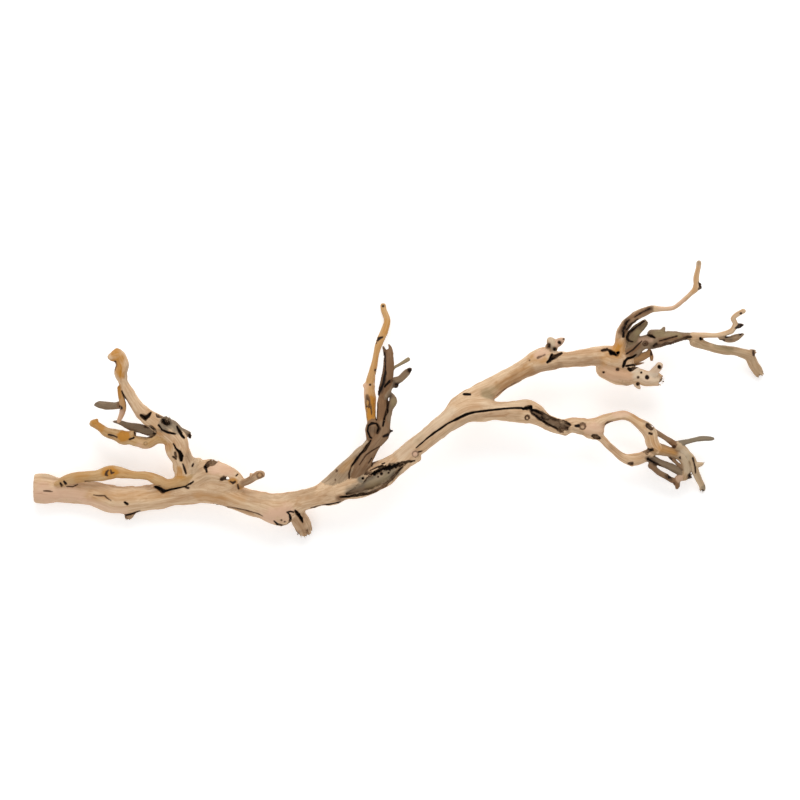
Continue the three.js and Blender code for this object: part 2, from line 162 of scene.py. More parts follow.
class Noise:
    """Smooth repeatable three-dimensional noise from a fixed lattice."""

    SIZE = 32

    def __init__(self, seed: int) -> None:
        """Fills the lattice.

        Args:
            seed: Seed of its random values.
        """
        shape = (self.SIZE, self.SIZE, self.SIZE)
        self.lattice = np.random.default_rng(seed).uniform(-1.0, 1.0, shape).astype(np.float32)

    def __call__(self, points: Array) -> Array:
        """Values from -1 to 1 at the points.

        Args:
            points: Positions in lattice cells, as rows of three.

        Returns:
            One value for each point.
        """
        low = np.floor(points).astype(np.int32)
        part = (points - low).astype(np.float32)
        part = part * part * (3.0 - 2.0 * part)
        low &= self.SIZE - 1
        high = (low + 1) & (self.SIZE - 1)
        total = np.zeros(len(points), np.float32)
        for i in (0, 1):
            wx = part[:, 0] if i else 1.0 - part[:, 0]
            x = high[:, 0] if i else low[:, 0]
            for j in (0, 1):
                wy = part[:, 1] if j else 1.0 - part[:, 1]
                y = high[:, 1] if j else low[:, 1]
                wxy = wx * wy
                total += wxy * (1.0 - part[:, 2]) * self.lattice[x, y, low[:, 2]]
                total += wxy * part[:, 2] * self.lattice[x, y, high[:, 2]]
        return total

    def layered(self, points: Array, octaves: int = 3) -> Array:
        """Several sizes of noise added up.

        Args:
            points: Positions in cells of the largest size.
            octaves: How many sizes.

        Returns:
            One value for each point, about -1 to 1.
        """
        total = np.zeros(len(points), np.float32)
        share = 1.0
        whole = 0.0
        for octave in range(octaves):
            total += share * self(points * (2.03**octave) + 7.1 * octave)
            whole += share
            share *= 0.5
        return total / whole


def smooth_step(low: float, high: float, values: Array) -> Array:
    """Zero below low, one above high and a smooth ramp between.

    Args:
        low: Where the ramp starts.
        high: Where it ends; it may be below low, which turns the ramp round.
        values: Where to read it.

    Returns:
        Values from 0 to 1.
    """
    t = np.clip((values - low) / (high - low), 0.0, 1.0)
    return t * t * (3.0 - 2.0 * t)


def smooth_min(a: Array, b: Array, width: float) -> Array:
    """The smaller of two distances, rounded where they are close."""
    near = np.maximum(width - np.abs(a - b), 0.0) / width
    return np.minimum(a, b) - near * near * width * 0.25


def smooth_max(a: Array, b: Array, width: float) -> Array:
    """The larger of two distances, rounded where they are close."""
    return -smooth_min(-a, -b, width)


class Sweep:
    """A limb's route, resampled finely, with a frame carried along it."""

    STEP = 3.0

    def __init__(self, limb: Limb, node: int, seed: int) -> None:
        """Resamples the route.

        Args:
            limb: The limb.
            node: Index of the piece it belongs to.
            seed: Seed of its section's lobes.
        """
        self.limb = limb
        self.node = node
        rng = np.random.default_rng(seed)
        self.phases = rng.uniform(0.0, 2.0 * math.pi, 4)
        self.offset = rng.uniform(0.0, 500.0, 3)
        knots = np.array(limb.knots, float)
        if limb.start is not End.ROUND:
            knots = np.vstack([self._beyond(knots[0], knots[1]), knots])
        if limb.end is not End.ROUND:
            knots = np.vstack([knots, self._beyond(knots[-1], knots[-2])])
        self.points = self._curve(knots)
        axis = self.points[:, :3]
        tangents = np.gradient(axis, axis=0)
        self.tangents = tangents / np.linalg.norm(tangents, axis=1)[:, None]
        self.normals = self._carried()
        self.sides = np.cross(self.tangents, self.normals)
        steps = np.linalg.norm(np.diff(axis, axis=0), axis=1)
        self.along = np.concatenate([[0.0], np.cumsum(steps)])
        self.start_plane = self._plane(limb.knots[0],
            limb.knots[1]) if limb.start is not End.ROUND else None
        self.end_plane = self._plane(limb.knots[-1],
            limb.knots[-2]) if limb.end is not End.ROUND else None

    @staticmethod
    def _beyond(end: Array, inner: Array) -> Array:
        """A knot past the end, so that a cut there shows a whole section."""
        way = end[:3] - inner[:3]
        way = way / np.linalg.norm(way)
        return np.array([*(end[:3] + way * end[3] * 1.1), end[3] * 0.97])

    @staticmethod
    def _plane(end: Knot, inner: Knot) -> tuple[Array, Array]:
        """Point and outward direction of the plane that cuts an end."""
        point = np.array(end[:3])
        way = point - np.array(inner[:3])
        return point, way / np.linalg.norm(way)

    def _curve(self, knots: Array) -> Array:
        """Points of a smooth curve through the knots."""
        ghost = np.vstack([2 * knots[0] - knots[1], knots, 2 * knots[-1] - knots[-2]])
        out = []
        for i in range(1, len(ghost) - 2):
            a, b, c, d = ghost[i - 1 : i + 3]
            count = max(1, int(math.ceil(np.linalg.norm(c[:3] - b[:3]) / self.STEP)))
            for t in np.arange(count) / count:
                out.append(
                    0.5 * (2 * b + (c - a) * t + (2 * a - 5 * b + 4 * c - d) * t * t
                           + (-a + 3 * b - 3 * c + d) * t**3)
                )
        out.append(knots[-1])
        return np.array(out)

    def _carried(self) -> Array:
        """A vector at each point that starts upwards and is carried along without twisting."""
        up = np.array([0.0, 0.0, 1.0])
        if abs(self.tangents[0][2]) > 0.95:
            up = np.array([0.0, 1.0, 0.0])
        out = np.zeros_like(self.tangents)
        for i, tangent in enumerate(self.tangents):
            up = up - tangent * (up @ tangent)
            up = up / np.linalg.norm(up)
            out[i] = up
        return out


@dataclass
class Reading:
    """What the field knows about a batch of points."""

    distance: Array
    axis: Array
    limb: Array
    grain: Array
    other_grain: Array
    share: Array


class Body:
    """The branch as one field of distances: negative inside the wood, positive outside."""

    WAVES = ((0.55, 2, 0.021), (0.35, 3, -0.033), (0.25, 5, 0.017))  # share, lobes, twist to a millimetre
    SWELL = 0.30
    SWELL_RUN = 0.11
    KNOBBLY = 0.15  # height of the knobs, as a share of the limb's radius
    KNOB_HEIGHT = 1.3  # the most it may be, in millimetres
    KNOB_ALONG = 0.075
    KNOB_AROUND = 0.8
    SMALL_KNOBS = 0.5
    SMALL_KNOB_SCALE = 2.3
    SAW_RIPPLE = 0.35
    SAW_SCALE = 0.35
    SAWN_EDGE = 2.2
    TOOTH_DEPTH = 0.9
    TOOTH_ACROSS = 0.75
    TOOTH_ALONG = 0.04
    TORN_EDGE = 0.6
    RAGGED_SCALE = 0.55
    UNEVEN = 0.45
    UNEVEN_SCALE = 0.17
    LIP_MIDDLE = 1.2
    LIP_SPREAD = 2.4
    WALL_SLOPE = 2.2
    SHARP_EDGE = 0.5
    MIXED_GRAIN = 3.0
    RIM_ROOM = 6.0
    SPREAD = 1.2  # how far a limb's surface can stand out, as a share of its radius

    def __init__(self, sweeps: list[Sweep], marks: list[Mark], noise: Noise) -> None:
        """Lays out every stretch of every limb.

        Args:
            sweeps: The limbs, parents before the limbs that grow from them.
            marks: The hollows and cracks.
            noise: Noise for sections, rims and broken ends.
        """
        self.sweeps = sweeps
        self.marks = marks
        self.noise = noise
        self.low = np.vstack([s.points[:-1] for s in sweeps])
        self.high = np.vstack([s.points[1:] for s in sweeps])
        self.owner = np.concatenate([np.full(len(s.points) - 1, i) for i, s in enumerate(sweeps)])
        self.first = np.concatenate([[0], np.cumsum([len(s.points) - 1 for s in sweeps])])
        self.reach = np.maximum(self.low[:, 3], self.high[:, 3])
        self.mark_boxes = [self._mark_box(mark) for mark in marks]

    def _mark_box(self, mark: Mark) -> tuple[Array, Array]:
        """Lowest and highest corner of a mark's course in its plane, with room for its rim."""
        path = np.array(mark.path, float)
        grow = (path[:, 2].max() + mark.fade + self.RIM_ROOM) * np.ones(2)
        return path[:, :2].min(0) - grow, path[:, :2].max(0) + grow

    def near(self, centre: Array, radius: float) -> Array:
        """Indices of the stretches that can matter within a ball.

        Args:
            centre: The ball's middle.
            radius: Its radius.

        Returns:
            Indices in order.
        """
        middle = (self.low[:, :3] + self.high[:, :3]) * 0.5
        half = np.linalg.norm(self.high[:, :3] - self.low[:, :3], axis=1) * 0.5
        gap = np.linalg.norm(middle - centre, axis=1) - half - self.reach * self.SPREAD
        return np.flatnonzero(gap < radius)

    def _limb_distance(self, points: Array, index: int, chosen: Array) -> tuple[Array, Array, Array]:
        """Distance to one limb, the nearest point of its axis, and its grain coordinates."""
        sweep = self.sweeps[index]
        a = self.low[chosen]
        d = self.high[chosen] - a
        squared = (d[:, :3] ** 2).sum(1)
        rel = points[None, :, :] - a[:, None, :3]
        t = np.clip((rel * d[:, None, :3]).sum(2) / squared[:, None], 0.0, 1.0)
        off = rel - t[:, :, None] * d[:, None, :3]
        away = np.sqrt((off**2).sum(2))
        radius = a[:, 3, None] + t * d[:, 3, None]
        best = np.argmin(away - radius, axis=0)
        row = np.arange(len(points))
        t = t[best, row]
        off = off[best, row]
        away = away[best, row]
        radius = radius[best, row]
        place = chosen[best] - self.first[index]
        mix = t[:, None]
        normal = sweep.normals[place] * (1 - mix) + sweep.normals[place + 1] * mix
        side = sweep.sides[place] * (1 - mix) + sweep.sides[place + 1] * mix
        u = (off * normal).sum(1)
        v = (off * side).sum(1)
        s = sweep.along[place] * (1 - t) + sweep.along[place + 1] * t
        angle = np.arctan2(v, u)
        limb = sweep.limb
        p = sweep.phases
        wave = 0.0
        for phase, (share, turns, twist) in zip(p, self.WAVES):
            wave = wave + share * np.cos(turns * angle + phase + s * twist)
        wave = wave + self.SWELL * np.sin(s * self.SWELL_RUN + p[3])
        around = self.KNOB_AROUND
        spot = np.stack([s * self.KNOB_ALONG, u / radius * around, v / radius * around],
            1) + sweep.offset
        knobs = self.noise(spot) + self.SMALL_KNOBS * self.noise(spot * self.SMALL_KNOB_SCALE)
        shape = radius * (1.0 + limb.lobes * wave - limb.flat * 0.5 * (1.0 + np.cos(2 * angle)))
        shape = shape + np.minimum(radius * self.KNOBBLY, self.KNOB_HEIGHT) * knobs
        distance = away - shape
        for plane, end in ((sweep.start_plane, limb.start), (sweep.end_plane, limb.end)):
            if plane is None:
                continue
            point, way = plane
            past = (points - point) @ way
            if end is End.SAWN:
                past = past + self.SAW_RIPPLE * self.noise(points * self.SAW_SCALE)
                distance = smooth_max(distance, past, self.SAWN_EDGE)
            else:
                across = self.TOOTH_ACROSS
                cell = np.stack([u * across, v * across, s * self.TOOTH_ALONG], 1) + sweep.offset
                past = past + end_radius(limb, point) * self.TOOTH_DEPTH * self.noise(cell)
                distance = smooth_max(distance, past, self.TORN_EDGE)
        grain = np.stack([s, u, v], 1) + sweep.offset
        return distance, points - off, grain

    def read(self, points: Array, stretches: Array, carve: bool = True) -> Reading:
        """Reads the field.

        Args:
            points: Where, as rows of three, in millimetres.
            stretches: The stretches that can matter there.
            carve: Whether the marks are carved.

        Returns:
            What the field knows there.
        """
        count = len(points)
        field_value = np.full(count, FAR)
        best = np.full(count, FAR)
        second = np.full(count, FAR)
        axis = np.zeros((count, 3))
        limb = np.full(count, -1)
        grain = np.zeros((count, 3))
        other = np.zeros((count, 3))
        owners = self.owner[stretches]
        for index in np.unique(owners):
            distance, centre, own = self._limb_distance(points, index, stretches[owners == index])
            field_value = smooth_min(field_value, distance, self.sweeps[index].limb.blend)
            first = distance < best
            runner = ~first & (distance < second)
            other[first] = grain[first]
            other[runner] = own[runner]
            second = np.where(first, best, np.minimum(second, distance))
            best = np.where(first, distance, best)
            axis[first] = centre[first]
            limb[first] = index
            grain[first] = own[first]
        if carve:
            field_value = self._carved(points, field_value, axis)
            field_value = smooth_max(field_value, -points[:, 2], self.SHARP_EDGE)
        share = smooth_step(-self.MIXED_GRAIN, self.MIXED_GRAIN, second - best)
        return Reading(field_value, axis, limb, grain, other, share)

    @staticmethod
    def plane_of(side: Side, points: Array) -> Array:
        """The two coordinates of the plane that a side's marks are drawn in."""
        return points[:, [0, 1]] if side in (Side.TOP, Side.THROUGH) else points[:, [0, 2]]

    @staticmethod
    def off_course(mark: Mark, flat: Array) -> tuple[Array, Array]:
        """Distance past a mark's rim, and its half width there.

        Args:
            mark: The mark.
            flat: Points in its plane.

        Returns:
            Distance past the rim, negative inside, and the half width at the nearest place.
        """
        path = np.array(mark.path, float)
        if len(path) == 1:
            away = np.linalg.norm(flat - path[0, :2], axis=1)
            return away - path[0, 2], np.full(len(flat), path[0, 2])
        best = np.full(len(flat), BEYOND)
        width = np.zeros(len(flat))
        for a, b in zip(path[:-1], path[1:]):
            d = b - a
            t = np.clip(((flat - a[:2]) @ d[:2]) / (d[:2] @ d[:2]), 0.0, 1.0)
            w = a[2] + t * d[2]
            gap = np.linalg.norm(flat - a[:2] - t[:, None] * d[:2], axis=1) - w
            closer = gap < best
            best = np.where(closer, gap, best)
            width = np.where(closer, w, width)
        return best, width

    def past_rim(self, mark: Mark, points: Array) -> tuple[Array, Array]:
        """Distance past a mark's ragged rim, and its half width there.

        Args:
            mark: The mark.
            points: Where, as rows of three.

        Returns:
            Distance past the rim, negative inside, and the half width.
        """
        gap, width = self.off_course(mark, self.plane_of(mark.side, points))
        uneven = mark.ragged * self.noise(points * self.RAGGED_SCALE)
        uneven = uneven + self.UNEVEN * self.noise(points * self.UNEVEN_SCALE)
        return gap + width * uneven, width

    def touching(self, points: Array) -> list[Mark]:
        """The marks whose course passes near a batch of points."""
        out = []
        low3, high3 = points.min(0), points.max(0)
        for mark, (low, high) in zip(self.marks, self.mark_boxes):
            pick = [0, 1] if mark.side in (Side.TOP, Side.THROUGH) else [0, 2]
            if (high3[pick] > low).all() and (low3[pick] < high).all():
                out.append(mark)
        return out

    def facing(self, mark: Mark, points: Array, axis: Array) -> Array:
        """How far the points stand out on a mark's side of the limb's axis, in millimetres."""
        if mark.side is Side.THROUGH:
            return np.full(len(points), FAR)
        return (points - axis) @ np.array(mark.side.value)

    def _carved(self, points: Array, value: Array, axis: Array) -> Array:
        """The field with its lips raised and its marks carved."""
        marks = self.touching(points)
        if not marks:
            return value
        whole = value.copy()
        for mark in marks:
            gap, width = self.past_rim(mark, points)
            out = self.facing(mark, points, axis)
            if mark.lip > 0.0:
                swell = np.exp(-(((gap - self.LIP_MIDDLE) / self.LIP_SPREAD) ** 2)) * smooth_step(-1.0,
                    3.0, out)
                whole = whole - mark.lip * swell
                value = value - mark.lip * swell
            bowl = smooth_min(-gap * self.WALL_SLOPE, whole + mark.depth, mark.depth * 0.4 + 0.3)
            value = smooth_max(value, np.minimum(bowl, out + self.SHARP_EDGE), self.SHARP_EDGE)
        return value


def end_radius(limb: Limb, point: Array) -> float:
    """The limb's radius at the end knot nearer to a point."""
    first = np.linalg.norm(np.array(limb.knots[0][:3]) - point)
    last = np.linalg.norm(np.array(limb.knots[-1][:3]) - point)
    return limb.knots[0][3] if first < last else limb.knots[-1][3]


@dataclass
class Skin:
    """The branch's surface: vertices, quads and what each vertex knows."""

    points: Array
    quads: Array
    reading: Reading


class Mesher:
    """Turns the field into a closed surface of small quads, block by block."""

    CELLS = 16
    SUB = 4  # cells to a side of the smaller cubes that a block is first read in
    SLACK = 3.0  # millimetres allowed for error in the field's value
    STRETCH = 1.3  # allowance on a cube's half diagonal, inside the wood
    CARVED_DEPTH = 13.0  # millimetres allowed inward where marks are carved
    MARGIN = 4.0
    NEAR_ROOM = 10.0
    BELOW_FLOOR = 2.5  # voxels
    BLOCK_DEPTH = 12.0
    BLOCK_SLACK = 2.5

    def __init__(self, body: Body, voxel: float) -> None:
        """Sets the grid.

        Args:
            body: The field.
            voxel: Side of a grid cell in millimetres.
        """
        self.body = body
        self.voxel = voxel
        self.block = self.CELLS * voxel
        spread = body.reach[:, None] * body.SPREAD
        low = (body.low[:, :3] - spread).min(0) - self.MARGIN
        high = (body.high[:, :3] + spread).max(0) + self.MARGIN
        low[2] = -self.BELOW_FLOOR * voxel
        self.low = low
        self.counts = np.ceil((high - low) / self.block).astype(int)
        self.cells = self.counts * self.CELLS + 4

    def _blocks(self) -> Iterable[tuple[Array, Array]]:
        """Index and stretches of each block that the surface may pass through."""
        half = self.block * 0.5 * math.sqrt(3.0)
        for i in range(self.counts[0]):
            for j in range(self.counts[1]):
                for k in range(self.counts[2]):
                    index = np.array([i, j, k])
                    centre = self.low + (index + 0.5) * self.block
                    stretches = self.body.near(centre, half + self.NEAR_ROOM)
                    if not len(stretches):
                        continue
                    value = self.body.read(centre[None], stretches, carve=False).distance[0]
                    if -half - self.BLOCK_DEPTH < value < half + self.BLOCK_SLACK:
                        yield index, stretches

    def _key(self, cells: Array) -> Array:
        """One number for each grid cell."""
        shifted = cells + 1
        return (shifted[:, 0] * self.cells[1] + shifted[:, 1]) * self.cells[2] + shifted[:, 2]

    def build(self) -> Skin:
        """Meshes the whole branch.

        Returns:
            Its surface.
        """
        n = self.CELLS
        steps = np.stack(np.meshgrid(*[np.arange(n + 1)] * 3, indexing="ij"), -1).reshape(-1, 3)
        keys, places, readings, faces = [], [], [], []
        for index, stretches in self._blocks():
            base = index * n
            grid = self._grid(base, steps, stretches)
            if grid.min() > 0 or grid.max() < 0:
                continue
            spots, cells = self._spots(grid)
            if len(spots):
                world = self.low + (base + spots) * self.voxel
                keys.append(self._key(base + cells))
                places.append(world)
                readings.append(self.body.read(world, stretches, carve=False))
            faces.append(self._quads(grid, base))
        return self._assemble(keys, places, readings, faces)

    def _grid(self, base: Array, steps: Array, stretches: Array) -> Array:
        """The field at a block's grid points, read only where the surface may be.

        Args:
            base: The block's first grid point.
            steps: Every grid point, counted from the first.
            stretches: The stretches that can matter there.

        Returns:
            The values, as a cube.
        """
        n, sub = self.CELLS, self.SUB
        span = n // sub
        corners = np.stack(np.meshgrid(*[np.arange(span)] * 3, indexing="ij"), -1).reshape(-1, 3)
        centres = self.low + (base + (corners + 0.5) * sub) * self.voxel
        value = self.body.read(centres, stretches, carve=False).distance
        reach = sub * self.voxel * 0.5 * math.sqrt(3.0)
        carved = bool(self.body.touching(self.low + (base + np.array([[0] * 3, [n] * 3])) * self.voxel))
        inner = self.CARVED_DEPTH if carved else self.SLACK
        active = (value < reach + self.SLACK) & (value > -reach * self.STRETCH - inner)
        active |= (value < reach + self.SLACK) & (centres[:, 2] < reach + self.SLACK)
        cube = active.reshape(span, span, span)
        shown = np.zeros((n + 1, n + 1, n + 1), bool)
        fine = cube.repeat(sub, 0).repeat(sub, 1).repeat(sub, 2)
        for i in (0, 1):
            for j in (0, 1):
                for k in (0, 1):
                    shown[i : n + i, j : n + j, k : n + k] |= fine
        solid = (value < 0).reshape(span, span, span).repeat(sub, 0).repeat(sub, 1).repeat(sub, 2)
        grid = np.where(np.pad(solid, ((0, 1),) * 3, mode="edge"), -FAR, FAR)
        picked = shown.reshape(-1)
        if picked.any():
            points = self.low + (base + steps[picked]) * self.voxel
            grid.reshape(-1)[picked] = self.body.read(points, stretches).distance
        return grid

    def _spots(self, grid: Array) -> tuple[Array, Array]:
        """One point in each cell that the surface passes through, and the cells' indices."""
        n = self.CELLS
        total = np.zeros((n, n, n, 3))
        count = np.zeros((n, n, n))
        for axis in range(3):
            a = np.take(grid, np.arange(n), axis)
            b = np.take(grid, np.arange(1, n + 1), axis)
            cross = (a < 0) != (b < 0)
            t = np.where(cross, a / np.where(cross, a - b, 1.0), 0.0)
            one, two = [other for other in range(3) if other != axis]
            for i in (0, 1):
                for j in (0, 1):
                    cut = [slice(None)] * 3
                    cut[one] = slice(i, n + i)
                    cut[two] = slice(j, n + j)
                    hit = cross[tuple(cut)]
                    count += hit
                    total[..., axis] += t[tuple(cut)]
                    total[..., one] += i * hit
                    total[..., two] += j * hit
        cells = np.argwhere(count > 0)
        chosen = tuple(cells.T)
        return cells + total[chosen] / count[chosen][:, None], cells

    def _quads(self, grid: Array, base: Array) -> Array:
        """Keys of the four cells round each grid edge that the surface crosses."""
        n = self.CELLS
        out = []
        for axis in range(3):
            one, two = (axis + 1) % 3, (axis + 2) % 3
            a = grid[:n, :n, :n]
            shift = [slice(0, n)] * 3
            shift[axis] = slice(1, n + 1)
            b = grid[tuple(shift)]
            inside = a < 0
            cross = inside != (b < 0)
            spots = np.argwhere(cross)
            if not len(spots):
                continue
            forward = inside[cross]
            corners = []
            for i, j in ((-1, -1), (0, -1), (0, 0), (-1, 0)):
                cell = spots.copy()
                cell[:, one] += i
                cell[:, two] += j
                corners.append(self._key(base + cell))
            quad = np.stack(corners, 1)
            quad[~forward] = quad[~forward][:, ::-1]
            out.append(quad)
        return np.vstack(out) if out else np.zeros((0, 4), int)

    @staticmethod
    def _assemble(keys: list[Array], places: list[Array], readings: list[Reading],
        faces: list[Array]) -> Skin:
        """Joins the blocks' points and quads."""
        key = np.concatenate(keys)
        order = np.argsort(key)
        key = key[order]
        wanted = np.vstack(faces)
        quads = np.minimum(np.searchsorted(key, wanted), len(key) - 1)
        quads = quads[(key[quads] == wanted).all(1)]
        joined = Reading(*[
            np.concatenate([getattr(r, name) for r in readings])[order]
            for name in ("distance", "axis", "limb", "grain", "other_grain", "share")
        ])
        return Skin(np.vstack(places)[order], quads, joined)


Route = tuple[Knot, ...]
Course = tuple[tuple[float, float, float], ...]
Tones = tuple[tuple[Tone, float], ...]

AMBER_ALL: Tones = ((Tone.AMBER, 0.15),)
DEAD: Tones = ((Tone.GREY, 0.8), (Tone.BROWN, 0.3))
BROWNED: Tones = ((Tone.BROWN, 0.85),)
BLACK: Tones = ((Tone.CHAR, 0.9),)
CREASE_CORNERS = 8
CREASE_STAIN = 0.5
PALE_SPUR: Tones = ((Tone.PALE, 0.5), (Tone.ROSE, 0.4))


class Growth:
    """One sub-assembly of the branch: what it grows, what is worn into it and how it is tinted."""

    def limbs(self) -> dict[str, tuple[Limb, ...]]:
        """The limbs of each of its pieces, by the piece's name."""
        return {}

    def marks(self) -> tuple[Mark, ...]:
        """The hollows, cracks and pits worn into it."""
        return ()

    def washes(self) -> tuple[Wash, ...]:
        """The soft patches of colour on it."""
        return ()


def splits(*paths: Course, **how: object) -> tuple[Mark, ...]:
    """Several marks that are alike except for their course.

    Args:
        paths: The course of each.
        how: Whatever else a mark takes, the same for all.

    Returns:
        The marks.
    """
    return tuple(Mark(path, **how) for path in paths)


def pits(*spots: tuple[float, float, float], **how: object) -> tuple[Mark, ...]:
    """Several round pits that are alike except for place and size.

    Args:
        spots: Each one's (x, y, half width) in millimetres.
        how: Whatever else a mark takes, the same for all.

    Returns:
        The marks.
    """
    return tuple(Mark((spot,), **how) for spot in spots)


def ringed(x: float, y: float, radius: float, half: float, **how: float) -> Mark:
    """A round crease about a knot.

    Args:
        x: Middle along the branch, in millimetres.
        y: Middle across it.
        radius: Radius of the crease.
        half: Half its width.
        how: Whatever else a mark takes.

    Returns:
        The mark.
    """
    turns = [2.0 * math.pi * i / CREASE_CORNERS for i in range(CREASE_CORNERS + 1)]
    path = tuple(
        (x + radius * math.cos(t), y + radius * math.sin(t), half * (1.0 + 0.5 * math.sin(t + x)))
        for t in turns
    )
    how["stain"] = CREASE_STAIN * how.get("stain", 1.0)
    return Mark(path, **how)


@dataclass(frozen=True)
class Trunk(Growth):
    """The sawn trunk with its shard and knuckle, the bow twig beside it and the broken stub."""

    log_route: Route = (
        (-456, -113, 16, 14), (-451, -113, 16, 18.5), (-438, -114, 15, 18), (-414, -116, 13, 16),
        (-382, -120, 14, 16), (-352, -128, 17, 17.5), (-319, -125, 18, 16), (-281, -119, 23, 15.5),
        (-249, -113, 28, 18.5), (-223, -117, 30, 17), (-196, -127, 31, 15), (-170, -134, 32, 16.5),
        (-150, -138, 32, 19), (-130, -130, 34, 14), (-108, -124, 38, 12.5), (-84, -117, 41, 14.5),
    )
    shard: Route = ((-334, -136, 18, 9), (-338, -146, 15, 6), (-340, -151, 13, 3))
    knuckle: Route = ((-158, -142, 32, 14), (-148, -148, 33, 11.5), (-144, -150, 35, 8))
    bow: Route = (
        (-425, -108, 31, 4), (-415, -103, 33, 6.5), (-398, -99, 34, 7), (-380, -98, 34, 6.5),
        (-362, -94, 34, 8), (-350, -93, 34, 7), (-332, -96, 34, 5), (-312, -98, 35, 5.5),
        (-300, -103, 36, 6.5), (-288, -107, 38, 5.5), (-274, -104, 41, 6), (-260, -98, 43, 7),
    )
    stub: Route = ((-134, -132, 32, 12), (-128, -146, 24, 11), (-122, -157, 14, 11), (-119, -166, 9, 10))

    def limbs(self) -> dict[str, tuple[Limb, ...]]:
        """The limbs of each of its pieces, by the piece's name."""
        return {
            "trunk": (
                Limb(self.log_route, lobes=0.04, start=End.SAWN),
                Limb(self.shard, 3.0, flat=0.3, end=End.SNAPPED, tones=((Tone.BROWN, 0.5),)),
                Limb(self.knuckle, 6.0),
            ),
            "bow_twig": (Limb(self.bow, 5.0, tones=AMBER_ALL),),
            "lower_stub": (Limb(self.stub, 5.0, end=End.SNAPPED, tones=((Tone.BROWN, 0.25),)),),
        }

    def marks(self) -> tuple[Mark, ...]:
        """Bud scars, drying cracks, the groove where the bow twig grew back in, the stub's slot."""
        return (
            *splits(((-422, -106, 1.0), (-420, -110, 1.5)), ((-417, -104, 0.9), (-415, -107, 1.2)),
                depth=2.5),
            *splits(
                ((-443, -116, 0.4), (-438, -116, 0.9), (-432, -117, 0.3)),
                ((-381, -121, 0.3), (-375, -122, 0.7), (-367, -122, 0.7), (-364, -125, 0.7), (-359,
                    -128, 0.3)),
                ((-391, -104, 0.5), (-381, -104, 0.6), (-370, -105, 0.3)),
                ((-415, -110, 0.4), (-407, -111, 0.7), (-401, -108, 0.4)),
                depth=1.3, stain=0.55,
            ),
            Mark(((-342, -130, 1.2), (-339, -132, 1.5)), depth=3.5),
            Mark(((-344, -147, 0.6), (-335, -145, 0.9), (-324, -141, 0.5)), depth=2.0, stain=0.85),
            Mark(((-305, -111, 1.0), (-299, -112, 2.7), (-295, -116, 2.6), (-291, -116, 1.6),
                  (-284, -114, 0.9), (-275, -112, 0.7), (-266, -110, 0.6), (-256, -104, 0.4)),
                  depth=5.0, lip=0.4),
            *splits(((-266, -111, 1.2), (-263, -112, 1.8)), ((-260, -107, 0.8), (-256, -104, 1.0)),
                    depth=2.0, stain=0.75),
            Mark(((-231, -132, 0.3), (-220, -135, 0.6), (-204, -137, 0.7), (-190, -140, 0.7),
                  (-176, -144, 0.7), (-170, -147, 0.4)), depth=1.3, stain=0.5),
            Mark(((-156, -153, 0.6), (-152, -157, 1.1), (-146, -159, 1.2), (-140, -159, 1.1), (-137,
                -155, 1.2),
                  (-136, -150, 1.1), (-137, -145, 0.9), (-140, -142, 0.9)), depth=2.4),
            *pits((-147, -152, 1.2), (-143, -154, 1.1), depth=1.0, stain=0.6),
            Mark(((-110, -137, 0.5), (-99, -134, 0.8), (-88, -132, 0.8), (-77, -130, 0.6), (-74, -129,
                0.3)),
                 depth=1.6, stain=0.8),
            *splits(((-362, -90, 0.7), (-364, -92, 1.1), (-365, -96, 1.4), (-363, -97, 0.7)),
                    ((-359, -90, 0.6), (-358, -94, 0.8), (-355, -93, 0.7)), depth=1.2, stain=0.7),
            Mark(((-130, -140, 1.0), (-127, -144, 2.0), (-123, -150, 2.0), (-121, -155, 0.8)),
                depth=7.0, lip=0.4),
            *splits(((-140, -142, 0.8), (-136, -141, 0.9), (-132, -142, 0.7)),
                    ((-140, -160, 0.8), (-135, -164, 1.1), (-127, -170, 1.0)), depth=1.8, stain=0.9),
            Mark(((-300, 20, 0.5), (-250, 22, 1.0), (-205, 18, 0.4)), depth=1.5, stain=0.5,
                side=Side.NEAR),
            Mark(((-400, 18, 0.4), (-340, 15, 1.0), (-290, 20, 0.4)), depth=2.0, stain=0.6,
                side=Side.FAR),
        )

    def washes(self) -> tuple[Wash, ...]:
        """Amber streaks, rose patches and brown ends on the pale wood, with painted shade in rose along
        the near side and painted light greying the far side.
        """
        return (
            Wash(Tone.AMBER, ((-362, -93, 40, 8), (-358, -92, 40, 7)), 1.0, 0.7),
            Wash(Tone.AMBER, ((-350, -94, 38, 6), (-310, -99, 38, 5)), 0.3),
            Wash(Tone.AMBER, ((-400, -100, 38, 6), (-390, -97, 38, 5)), 0.3),
            # Painted shade: these two rose patches lie along the trunk's near side.
            Wash(Tone.ROSE, ((-445, -120, 28, 16), (-405, -122, 28, 12)), 0.7),
            Wash(Tone.ROSE, ((-390, -132, 24, 10), (-345, -140, 24, 9)), 0.6),
            Wash(Tone.ROSE, ((-160, -145, 44, 13), (-143, -142, 46, 11)), 0.8),
            Wash(Tone.AMBER, ((-385, -124, 29, 7), (-330, -122, 33, 7), (-290, -119, 37, 6)), 0.35),
            Wash(Tone.AMBER, ((-250, -122, 44, 7), (-195, -124, 45, 7)), 0.3),
            # Painted light: these two grey the trunk's far side, which faces the light.
            Wash(Tone.GREY, ((-440, -97, 24, 8), (-420, -98, 24, 6)), 0.3),
            Wash(Tone.GREY, ((-165, -122, 44, 8), (-110, -118, 46, 7)), 0.25),
            Wash(Tone.BROWN, ((-342, -149, 14, 7), (-328, -144, 16, 6)), 0.7),
            Wash(Tone.GREY, ((-134, -146, 32, 5), (-131, -153, 26, 5)), 0.8),
            Wash(Tone.BROWN, ((-132, -162, 16, 6), (-116, -163, 16, 6)), 0.5),
            Wash(Tone.BROWN, ((-98, -125, 46, 5), (-70, -123, 50, 7)), 0.6),
        )


